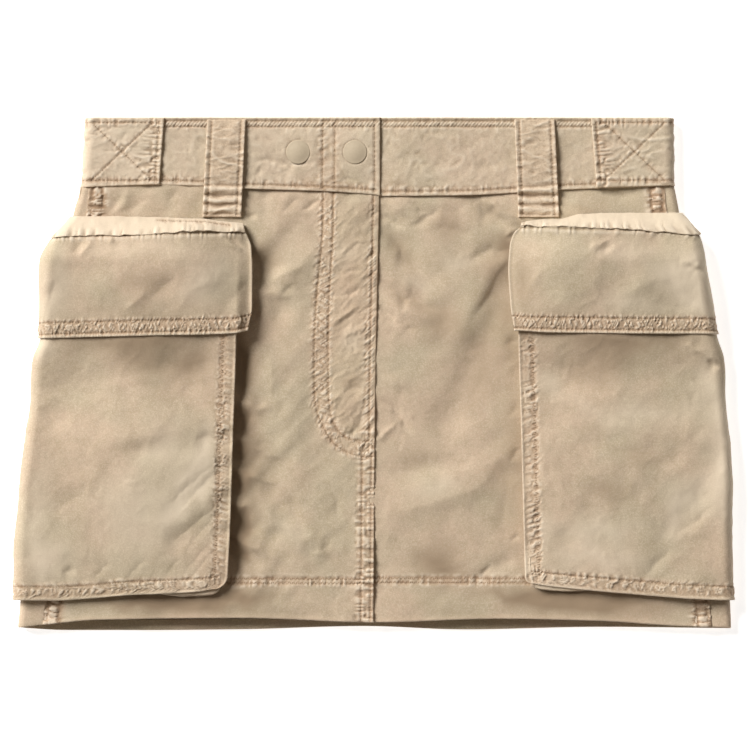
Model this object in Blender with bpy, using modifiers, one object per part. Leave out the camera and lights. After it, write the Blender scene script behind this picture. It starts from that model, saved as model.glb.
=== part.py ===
"""Cargo utility skirt lying flat, front up: +Y runs to the waist, +Z up out of the cloth.

Sizes in the tables and in the functions are millimetres; the meshes are built in metres.
"Left" is the side of negative X.
"""
import bmesh
import bpy
import numpy as np

MM = 0.001
NAME = "cargo_utility_skirt"
SIGN = {"left": -1.0, "right": 1.0}

# Cloth thicknesses, and the step from one layer of cloth to the next one on it.
CLOTH_WALL = 1.2
BAND_WALL = 1.6
GAP = 0.3
LAYER = 1.55

# Folded sides.
SKIRT_BEND = 4.5
SKIRT_THICK = 9.0
TAB_BEND = 6.0
BAG_BEND = 7.0
FLAP_BEND = 8.5
TAB_WRAP = 46.0
BAG_WRAP = 50.0
FLAP_WRAP = 46.0

# Closure at the centre front, where the left half laps over the right half.
FLY_RISE = 0.9
FRONT_UNDERLAP = 12.0
BAND_UNDERLAP = -58.0

WAIST_Y = 160.0
BAG_TOP_Y = 80.0
BAG_CORNER = {"left": 8.0, "right": 3.5}
FLAP_DROOP = 2.0
FLAP_OVER_BAG = 2.0
GUSSET_SETBACK = 2.5
GUSSET_LIP = 3.0
GUSSET_END = 185.0

SNAP_DIAMETER = 15.0
SNAP_HEIGHT = 1.3
SNAP_Y = 138.75
SNAP_X = {"snap_outer": -47.8, "snap_inner": -12.2}

CLOTH_COLOUR = (0.56, 0.43, 0.29, 1.0)
ENAMEL_COLOUR = (0.57, 0.47, 0.31, 1.0)


def table(columns, *rows):
    """Give the columns of a short table of measurements their names."""
    return {name: np.array(column, float) for name, column in zip(columns.split(), zip(*rows))}


# Half width of the flat skirt on each side, by height.
SKIRT_SIDE = table(
    "at left right",
    (-162, 223.2, 224.6),
    (-120, 219.5, 220.5),
    (-60, 214, 215),
    (0, 208, 209),
    (60, 199, 200),
    (100, 188.5, 191.5),
    (117, 184, 188.2),
    (160, 181, 187.6),
)
# Side seam on the front face, by height.
SIDE_SEAM = table("at left right", (-155, 207, 210.6), (115, 178, 181))
# Free edge of the left half at the centre front, by height.
FLY_EDGE = table("at x", (-155, -1.2), (-15, 0), (110, 2.5), (160, 3.2))
# Lower edge of the front halves and of the back, across the garment.
FRONT_HEM = table(
    "at y",
    (-222, -158),
    (-205, -156),
    (-171, -153),
    (-84, -152),
    (0, -154.7),
    (78, -152.5),
    (141, -153.8),
    (190, -157),
    (222, -158),
)
BACK_HEM = table(
    "at y",
    (-222, -158.5),
    (-193, -160),
    (-147, -160),
    (-84, -159.5),
    (-6, -157.5),
    (56, -159.6),
    (141, -158),
    (222, -158.8),
)
# Lower edge of the waistband on the front and round the back.
BAND_EDGE = table(
    "at y",
    (-184, 116.9),
    (-135, 118.6),
    (-106, 118),
    (-81, 116.4),
    (-33, 114.8),
    (0, 112.6),
    (6, 111.7),
    (60, 112.3),
    (85, 113.6),
    (116, 115.6),
    (187, 118.2),
)
BAND_EDGE_BACK = 117.5
# Height of the middle of the front over the floor, by height up the skirt.
MIDDLE_TOP = table("at z", (-160, 10.5), (-100, 11.0), (0, 11.3), (80, 11.0), (112, 10.6))
BAND_MIDDLE_TOP = 11.2
BAND_SIDE_TOP = 10.6

# Soft ridges and hollows: a line from x0, y0 to x1, y1, how wide and how high.
FRONT_FOLDS = (
    (83, 59, 47, -29, 10, -2.0),
    (78, 65, 57, 27, 8, 1.6),
    (3, 99, 32, 59, 9, -1.6),
    (3, 56, 41, 40, 8, -1.3),
    (85, -52, 23, -72, 9, 1.5),
    (66, -127, 83, -117, 5, -1.0),
    (-53, 102, -78, 71, 8, 1.4),
    (-40, 74, -78, 28, 8, 1.3),
    (-74, 66, -60, 40, 8, -1.6),
    (-47, 71, -53, -29, 12, 1.0),
    (-53, -29, -47, -116, 12, 1.0),
)

# Pocket bags: inner edge, silhouette and the face's height at its two edges, by height.
BAG_INNER = table(
    "at left right",
    (-140, 92.8, 95),
    (-91, 89.7, 93.5),
    (-35, 87.2, 92),
    (22, 85.3, 90.3),
    (80, 84.5, 89.5),
)
BAG_SIDE = table(
    "at left right",
    (-140, 225.3, 225.3),
    (-115, 225.3, 224.4),
    (-100, 224.7, 224.1),
    (-72, 222.2, 224.7),
    (-44, 219, 223.4),
    (-16, 215.5, 220.3),
    (10, 213, 218),
    (20, 208.9, 214.4),
    (26, 207.4, 212.8),
    (40, 207.2, 209.6),
    (60, 205.5, 206),
    (80, 203, 204),
)
BAG_TOP = table(
    "at inner outer",
    (-140, 16, 14.8),
    (-110, 18.2, 16.7),
    (-60, 20, 18),
    (0, 21.8, 19),
    (60, 23, 19),
    (92, 22.5, 18),
)
BAG_BOTTOM = table(
    "at left right",
    (93, -134.2, -130.6),
    (110, -135.8, -132.6),
    (130, -136.7, -134.4),
    (152, -137.5, -136.2),
    (178, -139.6, -138.2),
    (206, -141.0, -140.0),
    (225, -140.8, -140.8),
)
BAG_BELLY = 1.8
BAG_FOLDS = {
    "left": (
        (180, 11, 200, -35, 12, -1.2),
        (97, -44, 146, -45, 8, -0.9),
        (97, -60, 127, -84, 6, -0.9),
        (97, -86, 124, -104, 6, -0.9),
        (191, -117, 183, -128, 5, -0.8),
    ),
    "right": (
        (105, -15, 214, -7, 12, 1.0),
        (137, -41, 185, -47, 9, -1.3),
        (219, -41, 203, -76, 8, -0.9),
        (203, -76, 180, -99, 8, -0.9),
    ),
}

# Pocket flaps: silhouette by height, and the lower edge, top seam and rear line across.
FLAP_SIDE = table(
    "at left right",
    (22, 210.6, 216.2),
    (40, 209.9, 212.8),
    (59, 209.4, 209.7),
    (68, 209, 208.2),
    (78, 206.6, 206.6),
    (86, 202, 204.2),
    (92, 198, 200.5),
)
FLAP_INNER = table(
    "at left right",
    (22, 80.5, 88.2),
    (30, 78.8, 87.2),
    (42, 76.8, 85.4),
    (65, 76.7, 84),
    (79, 77.4, 84.9),
    (86, 79.5, 87),
    (92, 82.5, 92),
)
FLAP_EDGES = {
    "left": table(
        "at low seam rear",
        (77, 28.2, 88.6, 93.8),
        (88, 25.8, 88.6, 95),
        (110, 25, 88.2, 97),
        (150, 24.2, 86.8, 98.2),
        (212, 22.8, 85.8, 98.6),
    ),
    "right": table(
        "at low seam rear",
        (85, 27.4, 91.5, 93.2),
        (104, 26.4, 91.6, 96.4),
        (117, 26.2, 91, 97.2),
        (130, 26, 90.4, 100.2),
        (172, 25.6, 90, 100.8),
        (217, 25.4, 86.4, 101),
    ),
}

# Side tabs on the waistband: inner edge by height.
TAB_INNER = table("at left right", (117, 135, 139.4), (160, 132, 135.9))
# Belt loops: both long edges by height, and the height over the cloth under them.
LOOP_EDGES = table(
    "at left_start left_end right_start right_end",
    (98, -106.9, -83.8, 90.5, 115),
    (159, -104, -81, 88, 112),
)
LOOP_RISE = table(
    "at z",
    (98.5, 0),
    (103, 0.6),
    (105.5, 0.3),
    (107.5, 1.0),
    (111, 0.3),
    (114.5, 1.6),
    (118, 1.0),
    (130, 1.6),
    (150, 0.8),
    (158.5, 0),
)

# Heights at which the rows of faces lie.
FRONT_ROWS = (
    *(-157, -150, -142, -132, -122, -112, -102, -91, -80, -69, -58, -46, -34, -22, -10, 3, 16, 29),
    *(41, 53, 65, 77, 89, 101, 114),
)
BACK_ROWS = (
    *(-159, -152, -146, -140, -118, -92, -64, -38, -14, 8, 14, 20, 42, 63, 84, 89, 94, 104, 117),
)
BAG_ROWS = (-140, -138, -135.5, -132, -122, -106, -88, -70, -50, -30, -10, 8, 14, 20, 26, 40, 60, 80)
FLAP_ROWS = (22, 28, 36, 46, 58, 68, 78, 88)


def ease(value):
    """Rise smoothly from 0 to 1 while the value does, flat at both ends."""
    part = np.clip(value, 0.0, 1.0)
    return part * part * (3.0 - 2.0 * part)


def blend(start, end, part):
    """Mix two sizes by a part of 0 to 1."""
    return start + (end - start) * part


def read(source, name, at):
    """Read one column of a table between its rows, smoothly and without overshoot."""
    stations = source["at"]
    values = source[name]
    secants = np.diff(values) / np.diff(stations)
    product = secants[1:] * secants[:-1]
    total = np.where(product > 0, secants[1:] + secants[:-1], 1.0)
    inner = np.where(product > 0, 2.0 * product / total, 0.0)
    slopes = np.concatenate((secants[:1], inner, secants[-1:]))
    at = np.clip(at, stations[0], stations[-1])
    row = np.clip(np.searchsorted(stations, at, side="right") - 1, 0, len(stations) - 2)
    span = stations[row + 1] - stations[row]
    part = (at - stations[row]) / span
    start = values[row] + slopes[row] * span * part * (1.0 - part) ** 2
    bend = -slopes[row + 1] * span * part * part * (1.0 - part)
    return start + bend + (values[row + 1] - values[row]) * ease(part)


def read_side(source, x, y):
    """Read a table with a left and a right column by the sign of x."""
    return np.where(x < 0, read(source, "left", y), read(source, "right", y))


def fit_rows(level, low, high, low_level, high_level, reach):
    """Move the end rows onto a piece's own edges and leave the rows between at their level."""
    down = (low - low_level) * ease(1.0 - (level - low_level) / reach)
    up = (high - high_level) * ease(1.0 - (high_level - level) / reach)
    return level + down + up


def around_side(part, shares, inner, side, bend, depth):
    """Follow a cloth out over the face, round one side and in again underneath.

    Returns the distance from the centre line, and 1 on the face down to 0 underneath.
    """
    face_end = shares[0] / sum(shares)
    bend_end = (shares[0] + shares[1]) / sum(shares)
    on_face = np.clip(part / face_end, 0.0, 1.0)
    on_bend = np.clip((part - face_end) / (bend_end - face_end), 0.0, 1.0)
    beneath = np.clip((part - bend_end) / (1.0 - bend_end), 0.0, 1.0)
    reach = blend(inner, side - bend, on_face)
    reach = reach + bend * np.sin(np.pi * on_bend) - (depth - bend) * beneath
    return reach, (1.0 + np.cos(np.pi * on_bend)) / 2.0


def columns(shares):
    """Stations across a cloth that goes round a side, evenly spaced in each share."""
    return np.linspace(0.0, 1.0, sum(shares) + 1)


def lift_of_back(x, y):
    """Height of the back over the floor, where tabs, flaps and pockets wrap in under it."""
    over_bag = ease((y + 152.0) / 12.0)
    over_flap = ease((y - 8.0) / 12.0) - ease((y - 84.0) / 10.0)
    inward = read_side(SKIRT_SIDE, x, y) - np.abs(x)
    return LAYER * (over_bag + over_flap) * (1.0 - ease((inward - 56.0) / 24.0))


def lift_of_bag(y):
    """Height of a pocket's underside over the floor, where it lies on the flap's."""
    return LAYER * ease((y - 8.0) / 12.0)


def folds(lines, x, y):
    """Height of soft ridges and hollows along some lines."""
    height = np.zeros(np.broadcast(x, y).shape)
    for x0, y0, x1, y1, width, rise in lines:
        length = (x1 - x0) ** 2 + (y1 - y0) ** 2
        along = np.clip(((x - x0) * (x1 - x0) + (y - y0) * (y1 - y0)) / length, 0.0, 1.0)
        off_x = x - x0 - along * (x1 - x0)
        off_y = y - y0 - along * (y1 - y0)
        height = height + rise * np.exp(-(off_x**2 + off_y**2) / width**2)
    return height


def front_top(x, y):
    """Outer height of the front before the closure is lapped."""
    side = read_side(SKIRT_SIDE, x, y)
    inward = side - np.abs(x)
    at_side = lift_of_back(np.copysign(side, x), y) + SKIRT_THICK
    middle = read(MIDDLE_TOP, "z", y) + folds(FRONT_FOLDS, x, y) * ease((inward - 20.0) / 40.0)
    return blend(at_side, middle, ease((inward - 8.0) / 50.0))


def fly_rise(past_edge):
    """Rise of the left half towards its free edge, by the distance past that edge."""
    return FLY_RISE * ease((past_edge + 70.0) / 60.0)


def lapped(hand, x, y, top, step):
    """Height of a half of the front once the left half lies on the right half."""
    past_edge = x - read(FLY_EDGE, "x", y)
    if hand == "left":
        return top + fly_rise(past_edge)
    beside = (FLY_RISE - step) * (1.0 - ease(past_edge / 14.0))
    return top + np.where(past_edge < 0, fly_rise(past_edge) - step, beside)


def skirt_front(hand):
    """Surface of one front half, from its side seam to the centre front."""

    def surface(part, level):
        fly = read(FLY_EDGE, "x", level)
        seam = read(SIDE_SEAM, hand, level) - GAP / 2
        if hand == "left":
            x = blend(-seam, fly, part)
        else:
            x = blend(fly - FRONT_UNDERLAP, seam, part)
        top_edge = read(BAND_EDGE, "y", x) - GAP
        y = fit_rows(level, read(FRONT_HEM, "y", x), top_edge, -157.0, 114.0, 20.0)
        return x, y, lapped(hand, x, y, front_top(x, y), LAYER)

    return surface


BACK_SHARES = (2, 5, 10)


def skirt_back(part, level):
    """Surface of the back, from the right side seam round underneath to the left one."""
    side_part = 1.0 - np.abs(2.0 * part - 1.0)
    sign = np.where(part <= 0.5, 1.0, -1.0)
    side = read_side(SKIRT_SIDE, sign, level)
    seam = read_side(SIDE_SEAM, sign, level) + GAP / 2
    reach, upper = around_side(side_part, BACK_SHARES, seam, side, SKIRT_BEND, side)
    x = sign * reach
    hem = blend(read(BACK_HEM, "y", x), read(FRONT_HEM, "y", x), upper)
    top_edge = blend(BAND_EDGE_BACK, read(BAND_EDGE, "y", x), upper) - GAP
    y = fit_rows(level, hem, top_edge, -159.0, 117.0, 20.0)
    lift = lift_of_back(x, y)
    return x, y, blend(lift, lift_of_back(sign * side, y) + SKIRT_THICK, upper)


def band_top(x, y):
    """Outer height of the waistband's front."""
    inward = read_side(SKIRT_SIDE, x, y) - np.abs(x)
    return blend(BAND_SIDE_TOP, BAND_MIDDLE_TOP, ease((inward - 8.0) / 50.0))


BAND_SEAM = {"left": -166.0, "right": 170.0}


def waistband_front(hand):
    """Surface of one half of the waistband's front."""

    def surface(part, upwards):
        if hand == "left":
            x = blend(BAND_SEAM["left"] + GAP / 2, read(FLY_EDGE, "x", 140.0), part)
        else:
            x = blend(BAND_UNDERLAP, BAND_SEAM["right"] - GAP / 2, part)
        y = blend(read(BAND_EDGE, "y", x), WAIST_Y, upwards)
        return x, y, lapped(hand, x, y, band_top(x, y), BAND_WALL + GAP)

    return surface


BAND_SHARES = (2, 5, 9)


def waistband_back(part, upwards):
    """Surface of the waistband's back, from one front seam round underneath to the other."""
    side_part = 1.0 - np.abs(2.0 * part - 1.0)
    sign = np.where(part <= 0.5, 1.0, -1.0)
    level = blend(117.0, WAIST_Y, upwards)
    side = read_side(SKIRT_SIDE, sign, level) - LAYER
    seam = np.where(part <= 0.5, BAND_SEAM["right"], -BAND_SEAM["left"]) + GAP / 2
    reach, upper = around_side(side_part, BAND_SHARES, seam, side, SKIRT_BEND, side)
    x = sign * reach
    edge = blend(BAND_EDGE_BACK, read(BAND_EDGE, "y", x), upper)
    y = blend(edge, WAIST_Y, upwards)
    return x, y, blend(lift_of_back(x, y), BAND_SIDE_TOP, upper)


TAB_SHARES = (5, 6, 4)


def side_tab(hand):
    """Surface of a side tab, laid on the waistband and round its side."""

    def surface(part, upwards):
        level = blend(117.6, WAIST_Y - 0.4, upwards)
        inner = read(TAB_INNER, hand, level)
        side = read(SKIRT_SIDE, hand, level)
        reach, upper = around_side(part, TAB_SHARES, inner, side, TAB_BEND, TAB_WRAP)
        x = SIGN[hand] * reach
        low = blend(BAND_EDGE_BACK, read(BAND_EDGE, "y", x), upper)
        y = blend(low + 0.3, WAIST_Y - 0.4, upwards)
        return x, y, upper * (band_top(x, y) + CLOTH_WALL + GAP)

    return surface


def belt_loop(hand):
    """Surface of a front belt loop, from the waist down over the waistband's lower edge."""

    def surface(part, upwards):
        y = blend(98.5, 158.5, upwards)
        start = read(LOOP_EDGES, f"{hand}_start", y)
        x = blend(start, read(LOOP_EDGES, f"{hand}_end", y), part)
        on_band = ease((y - read(BAND_EDGE, "y", x) + 7.0) / 6.0)
        under = blend(front_top(x, y), band_top(x, y), on_band)
        return x, y, under + LAYER + read(LOOP_RISE, "z", y)

    return surface


def bag_inner(hand, y):
    """Inner edge of a pocket, rounded off at its lower corner."""
    radius = BAG_CORNER[hand]
    drop = np.clip(read(BAG_BOTTOM, hand, 93.0) + radius - y, 0.0, radius)
    rounding = radius - np.sqrt(radius**2 - drop**2)
    return read(BAG_INNER, hand, y) + rounding


def bag_top(hand, reach, y):
    """Outer height of a pocket's face."""
    inner = read(BAG_INNER, hand, y)
    outer = read(BAG_SIDE, hand, y) - BAG_BEND
    across = np.clip((reach - inner) / (outer - inner), 0.0, 1.0)
    height = blend(read(BAG_TOP, "inner", y), read(BAG_TOP, "outer", y), ease(across))
    fullness = BAG_BELLY * ease((y + 140.0) / 60.0) * np.sin(np.pi * across) ** 2
    return height + fullness + folds(BAG_FOLDS[hand], reach, y)


BAG_SHARES = (12, 8, 4)


def pocket(hand):
    """Surface of a pocket bag: its face, and the part that wraps round the side."""

    def surface(part, level):
        guess = blend(93.0, 225.0, np.clip(part * 2.0, 0.0, 1.0))
        low = read(BAG_BOTTOM, hand, guess)
        y = fit_rows(level, low, BAG_TOP_Y, -140.0, 80.0, 30.0)
        side = read(BAG_SIDE, hand, y)
        inner = bag_inner(hand, y)
        reach, upper = around_side(part, BAG_SHARES, inner, side, BAG_BEND, BAG_WRAP)
        height = blend(lift_of_bag(y), bag_top(hand, reach, y), upper)
        return SIGN[hand] * reach, y, height

    return surface


def gusset(hand):
    """Surface of the wall that joins a pocket's inner and lower edges to the skirt."""
    radius = 7.0

    def surface(along, upwards):
        start_y = BAG_TOP_Y - 2.0
        corner_y = read(BAG_BOTTOM, hand, 100.0) + GUSSET_SETBACK
        corner_reach = read(BAG_INNER, hand, -130.0) + GUSSET_SETBACK
        down = start_y - corner_y - radius
        length = down + np.pi / 2 * radius + GUSSET_END - corner_reach - radius
        run = along * length
        turn = np.clip((run - down) / (np.pi / 2 * radius), 0.0, 1.0) * np.pi / 2
        past = np.clip(run - down - np.pi / 2 * radius, 0.0, None)
        level = start_y - np.clip(run, 0.0, down) - radius * np.sin(turn)
        slant = read(BAG_INNER, hand, level) - read(BAG_INNER, hand, -130.0)
        reach = corner_reach + slant + radius * (1.0 - np.cos(turn)) + past
        lip = GUSSET_LIP * ease(turn) * ease((160.0 - reach) / 45.0)
        y = level + read(BAG_BOTTOM, hand, reach) - read(BAG_BOTTOM, hand, 100.0) - lip
        y = np.where(run < down, level, y)
        bow = (1.6 + 0.6 * np.sin(run / 7.0)) * (1.0 - 0.7 * along) * np.sin(np.pi * upwards) ** 2
        reach = reach + bow * np.cos(turn)
        y = y + bow * np.sin(turn)
        x = SIGN[hand] * reach
        low = lapped_front(hand, x, y) + 3.5 * GAP
        high = bag_top(hand, reach, y) - CLOTH_WALL - 3.0 * GAP
        return x, y, blend(low, high, upwards)

    return surface


def lapped_front(hand, x, y):
    """Outer height of the finished front under a pocket."""
    return lapped(hand, x, y, front_top(x, y), LAYER)


def flap_top(hand, reach, y):
    """Outer height of a flap's face, drooping where it runs past the pocket."""
    past = read(BAG_INNER, hand, y) - reach
    on_bag = bag_top(hand, np.maximum(reach, read(BAG_INNER, hand, y)), y)
    return on_bag + FLAP_OVER_BAG - FLAP_DROOP * ease(past / 9.0)


FLAP_SHARES = (12, 8, 4)


def flap(hand):
    """Surface of a pocket flap, from its lower edge up to its top seam."""

    def surface(part, level):
        guess = blend(80.0, 212.0, np.clip(part * 2.0, 0.0, 1.0))
        low = read(FLAP_EDGES[hand], "low", guess)
        seam = read(FLAP_EDGES[hand], "seam", guess)
        y = fit_rows(level, low, seam, 22.0, 88.0, 30.0)
        side = read(FLAP_SIDE, hand, y)
        inner = read(FLAP_INNER, hand, y)
        reach, upper = around_side(part, FLAP_SHARES, inner, side, FLAP_BEND, FLAP_WRAP)
        return SIGN[hand] * reach, y, flap_top(hand, reach, y) * upper

    return surface


def flap_wall(hand):
    """Surface of the wall between a flap's top seam and the skirt behind it."""

    def surface(part, rearwards):
        front_x, seam_y, front_z = flap(hand)(part, np.full_like(part, 88.0))
        guess = np.abs(front_x)
        rear_y = read(FLAP_EDGES[hand], "rear", guess)
        side = read(SKIRT_SIDE, hand, rear_y) + LAYER
        inner = read(FLAP_INNER, hand, rear_y)
        reach, upper = around_side(part, FLAP_SHARES, inner, side, TAB_BEND, FLAP_WRAP)
        rear_x = SIGN[hand] * reach
        rear_z = (lapped_front(hand, rear_x, rear_y) + LAYER) * upper
        x = blend(front_x, rear_x, rearwards)
        y = blend(seam_y + 1.5, rear_y, rearwards)
        return x, y, blend(front_z, rear_z, rearwards)

    return surface


def material(name, colour, roughness):
    """Make one plain material."""
    made = bpy.data.materials.new(name)
    made.use_nodes = True
    shader = made.node_tree.nodes["Principled BSDF"]
    shader.inputs["Base Color"].default_value = colour
    shader.inputs["Roughness"].default_value = roughness
    return made


def add_object(name, mesh, made_of, collection):
    """Put a mesh in the collection as an object of one material."""
    thing = bpy.data.objects.new(name, mesh)
    mesh.materials.append(made_of)
    collection.objects.link(thing)
    return thing


def cloth(name, surface, across, along, wall, collection):
    """Make a sheet whose outer face is the surface, with its thickness behind that face."""
    mesh = bpy.data.meshes.new(name)
    build = bmesh.new()
    bmesh.ops.create_grid(build, x_segments=len(across) - 1, y_segments=len(along) - 1, size=1.0)
    column = [round((corner.co.x + 1.0) / 2.0 * (len(across) - 1)) for corner in build.verts]
    row = [round((corner.co.y + 1.0) / 2.0 * (len(along) - 1)) for corner in build.verts]
    x, y, z = surface(np.asarray(across, float)[column], np.asarray(along, float)[row])
    for corner, place in zip(build.verts, zip(x, y, z)):
        corner.co = [size * MM for size in place]
    build.to_mesh(mesh)
    build.free()
    mesh.shade_smooth()
    thing = add_object(name, mesh, material(name, CLOTH_COLOUR, 0.9), collection)
    thickness = thing.modifiers.new("thickness", "SOLIDIFY")
    thickness.thickness = wall * MM
    thickness.offset = -1.0
    thickness.use_even_offset = True
    return thing


def snap_cap(name, x, collection):
    """Make a low domed cap, turned about its own axis."""
    radius = SNAP_DIAMETER / 2
    profile = (
        (0.0, 0.0),
        (radius - 0.5, 0.0),
        (radius, 0.4),
        (radius - 0.5, 0.8),
        (radius * 0.55, SNAP_HEIGHT - 0.1),
        (0.0, SNAP_HEIGHT),
    )
    corners = [(reach * MM, 0.0, height * MM) for reach, height in profile]
    mesh = bpy.data.meshes.new(name)
    mesh.from_pydata(corners, [(n, n + 1) for n in range(len(corners) - 1)], [])
    thing = add_object(name, mesh, material(name, ENAMEL_COLOUR, 0.45), collection)
    surface_x, surface_y = np.array(x), np.array(SNAP_Y)
    base = lapped("left", surface_x, surface_y, band_top(surface_x, surface_y), BAND_WALL + GAP)
    thing.location = (x * MM, SNAP_Y * MM, (float(base) + 0.35) * MM)
    turned = thing.modifiers.new("turned", "SCREW")
    turned.steps = 28
    turned.render_steps = 28
    turned.use_merge_vertices = True
    turned.merge_threshold = 0.00001
    turned.use_normal_calculate = True
    return thing


def even(count):
    """Stations from 0 to 1 for a number of equal steps."""
    return np.linspace(0.0, 1.0, count + 1)


def ordered(hand, stations):
    """Run the stations backwards on the left, whose mirrored surface then faces out too."""
    return stations if hand == "right" else stations[::-1]


def sheets():
    """Name, surface, stations across and along, and wall of each piece of cloth."""
    yield "back", skirt_back, columns(2 * BACK_SHARES), BACK_ROWS, CLOTH_WALL
    yield "waistband_back", waistband_back, columns(2 * BAND_SHARES), even(3), BAND_WALL
    for hand in SIGN:
        tab_columns = ordered(hand, columns(TAB_SHARES))
        bag_columns = ordered(hand, columns(BAG_SHARES))
        flap_columns = ordered(hand, columns(FLAP_SHARES))
        gusset_columns = ordered(hand, even(36))
        yield f"front_{hand}", skirt_front(hand), even(17), FRONT_ROWS, CLOTH_WALL
        yield f"waistband_{hand}", waistband_front(hand), even(16), even(3), BAND_WALL
        yield f"side_tab_{hand}", side_tab(hand), tab_columns, even(4), CLOTH_WALL
        yield f"belt_loop_{hand}", belt_loop(hand), even(2), even(20), CLOTH_WALL
        yield f"pocket_{hand}", pocket(hand), bag_columns, BAG_ROWS, CLOTH_WALL
        yield f"gusset_{hand}", gusset(hand), gusset_columns, even(4), CLOTH_WALL
        yield f"flap_{hand}", flap(hand), flap_columns, FLAP_ROWS, CLOTH_WALL
        yield f"flap_top_{hand}", flap_wall(hand), flap_columns, even(2), CLOTH_WALL


def build_skirt():
    """Make every piece of the garment."""
    for thing in list(bpy.data.objects):
        bpy.data.objects.remove(thing)
    collection = bpy.data.collections.new(NAME)
    bpy.context.scene.collection.children.link(collection)
    for name, surface, across, along, wall in sheets():
        cloth(name, surface, across, along, wall, collection)
    for name, x in SNAP_X.items():
        snap_cap(name, x, collection)


build_skirt()
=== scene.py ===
"""Looks of the cargo utility skirt: every sheet of cloth with its seams, puckers and creases.

The skirt lies flat, front up: +Y runs to the waist, +Z up out of the cloth. Sizes in the tables
and functions are millimetres; the meshes are built in metres. "Left" is the side of negative X.
"""

import bpy
import numpy as np
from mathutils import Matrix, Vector, kdtree


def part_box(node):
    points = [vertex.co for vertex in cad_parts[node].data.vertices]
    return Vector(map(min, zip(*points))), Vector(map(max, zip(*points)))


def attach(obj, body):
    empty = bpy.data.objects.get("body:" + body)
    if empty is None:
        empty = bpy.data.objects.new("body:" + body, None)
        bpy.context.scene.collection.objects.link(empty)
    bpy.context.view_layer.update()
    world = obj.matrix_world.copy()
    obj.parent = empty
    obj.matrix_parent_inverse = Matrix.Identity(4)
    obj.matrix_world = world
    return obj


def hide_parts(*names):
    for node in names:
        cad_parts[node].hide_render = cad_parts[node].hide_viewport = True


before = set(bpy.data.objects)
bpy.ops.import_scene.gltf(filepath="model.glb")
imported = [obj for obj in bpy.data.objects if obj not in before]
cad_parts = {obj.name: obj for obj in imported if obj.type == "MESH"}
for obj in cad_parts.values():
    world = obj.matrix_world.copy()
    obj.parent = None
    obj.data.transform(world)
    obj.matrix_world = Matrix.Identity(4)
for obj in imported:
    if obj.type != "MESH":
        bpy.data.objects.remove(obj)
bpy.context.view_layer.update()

# Camera: straight down, its view this wide at the height of the front's face.
LENS = 250.0
SENSOR = 36.0
VIEW_WIDTH = 468.75
VIEW_X = 0.31
VIEW_Y = -0.62
VIEW_PLANE = 12.0

# In metres: the floor, and how far the camera sees.
FLOOR_SIZE = 40.0
FLOOR_Z = -0.0008
FAR_CLIP = 20.0

# Light.
KEY_FROM = (-0.64, 0.52, 0.575)
KEY_STRENGTH = 4.55
KEY_SPREAD = 28.0
KEY_COLOUR = (1.0, 0.985, 0.96)
FILL_STRENGTH = 0.165
FILL_COLOUR = (1.0, 0.88, 0.76, 1.0)

# Colours.
KHAKI = (0.55, 0.46, 0.325, 1.0)
TAN = (0.62, 0.475, 0.345, 1.0)
DEEP_KHAKI = (0.42, 0.33, 0.21, 1.0)
SEAM_TAN = (0.6, 0.43, 0.295, 1.0)
SEAM_SPECK = (0.33, 0.2, 0.115, 1.0)
RUBBED = (0.84, 0.73, 0.585, 1.0)
# The next two colours are painted highlight and painted shade in the cloth, with some paler and
# deeper dye.
PALE_DYE_AND_HIGHLIGHT = (0.8, 0.68, 0.525, 1.0)
DEEP_DYE_AND_SHADE = (0.34, 0.25, 0.165, 1.0)
# Painted shade for the puckers' hollows.
HOLLOW_SHADE = (0.24, 0.145, 0.08, 1.0)
# Thread colours: tan and brown thread, darkened with painted shade of the stitches and needle
# holes.
SHADED_THREAD_TAN = (0.4, 0.28, 0.18, 1.0)
SHADED_THREAD_BROWN = (0.28, 0.18, 0.11, 1.0)
ENAMEL = (0.56, 0.465, 0.335, 1.0)
ENAMEL_DEEP = (0.47, 0.38, 0.265, 1.0)

# Values of the shaders' sockets.
CANVAS_SOCKETS = {
    "Roughness": 0.92,
    "Specular IOR Level": 0.2,
    "Sheen Weight": 0.12,
    "Sheen Roughness": 0.6,
}
THREAD_SOCKETS = {"Roughness": 0.75, "Specular IOR Level": 0.3}
FLOOR_SOCKETS = {
    "Base Color": (0.9, 0.9, 0.9, 1.0),
    "Emission Color": (1.0, 1.0, 1.0, 1.0),
    "Emission Strength": 0.75,
    "Roughness": 1.0,
    "Specular IOR Level": 0.0,
}
# Tones: the range of a value over which a colour comes in, how much of it, and the colour.
# Painted highlight and painted shade, with some paler and deeper dye, read from the shade lines'
# channel.
SHADE_AND_DYE_TONES = ((0.05, 1.0, 0.7, PALE_DYE_AND_HIGHLIGHT), (-0.05, -1.0, 1.0, DEEP_DYE_AND_SHADE))
# Puckers' ridges rubbed paler, and painted shade in their hollows.
WEAR_AND_SHADE_TONES = ((0.05, 1.0, 0.7, RUBBED), (-0.2, -1.0, 0.55, HOLLOW_SHADE))
# Clouds: the scale and the detail of a noise, and its tone.
CANVAS_CLOUDS = (
    (24.0, 2.0, 0.38, 0.62, 1.0, TAN),
    (130.0, 2.0, 0.45, 0.75, 0.35, DEEP_KHAKI),
    (480.0, 3.0, 0.35, 0.75, 0.35, DEEP_KHAKI),
    (1300.0, 2.0, 0.45, 0.8, 0.5, RUBBED),
)
THREAD_CLOUDS = ((700.0, 2.0, 0.3, 0.7, 1.0, SHADED_THREAD_BROWN),)
ENAMEL_TONES = ((0.4, 0.7, 0.3, ENAMEL_DEEP),)
# Other noises, by scale and detail, and what a range of them gives.
PIT_NOISE = (820.0, 1.0)
PIT_RANGE = (0.5, 0.62, 0.4)
PITTED_SEAM = (0.15, 0.5, 1.0)
SLUB_NOISE = (900.0, 2.0)
THREAD_NOISE = (3000.0, 1.0)
ENAMEL_NOISE = (600.0, 3.0)
ENAMEL_ROUGH = (0.3, 0.7, 0.75, 0.6)
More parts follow.
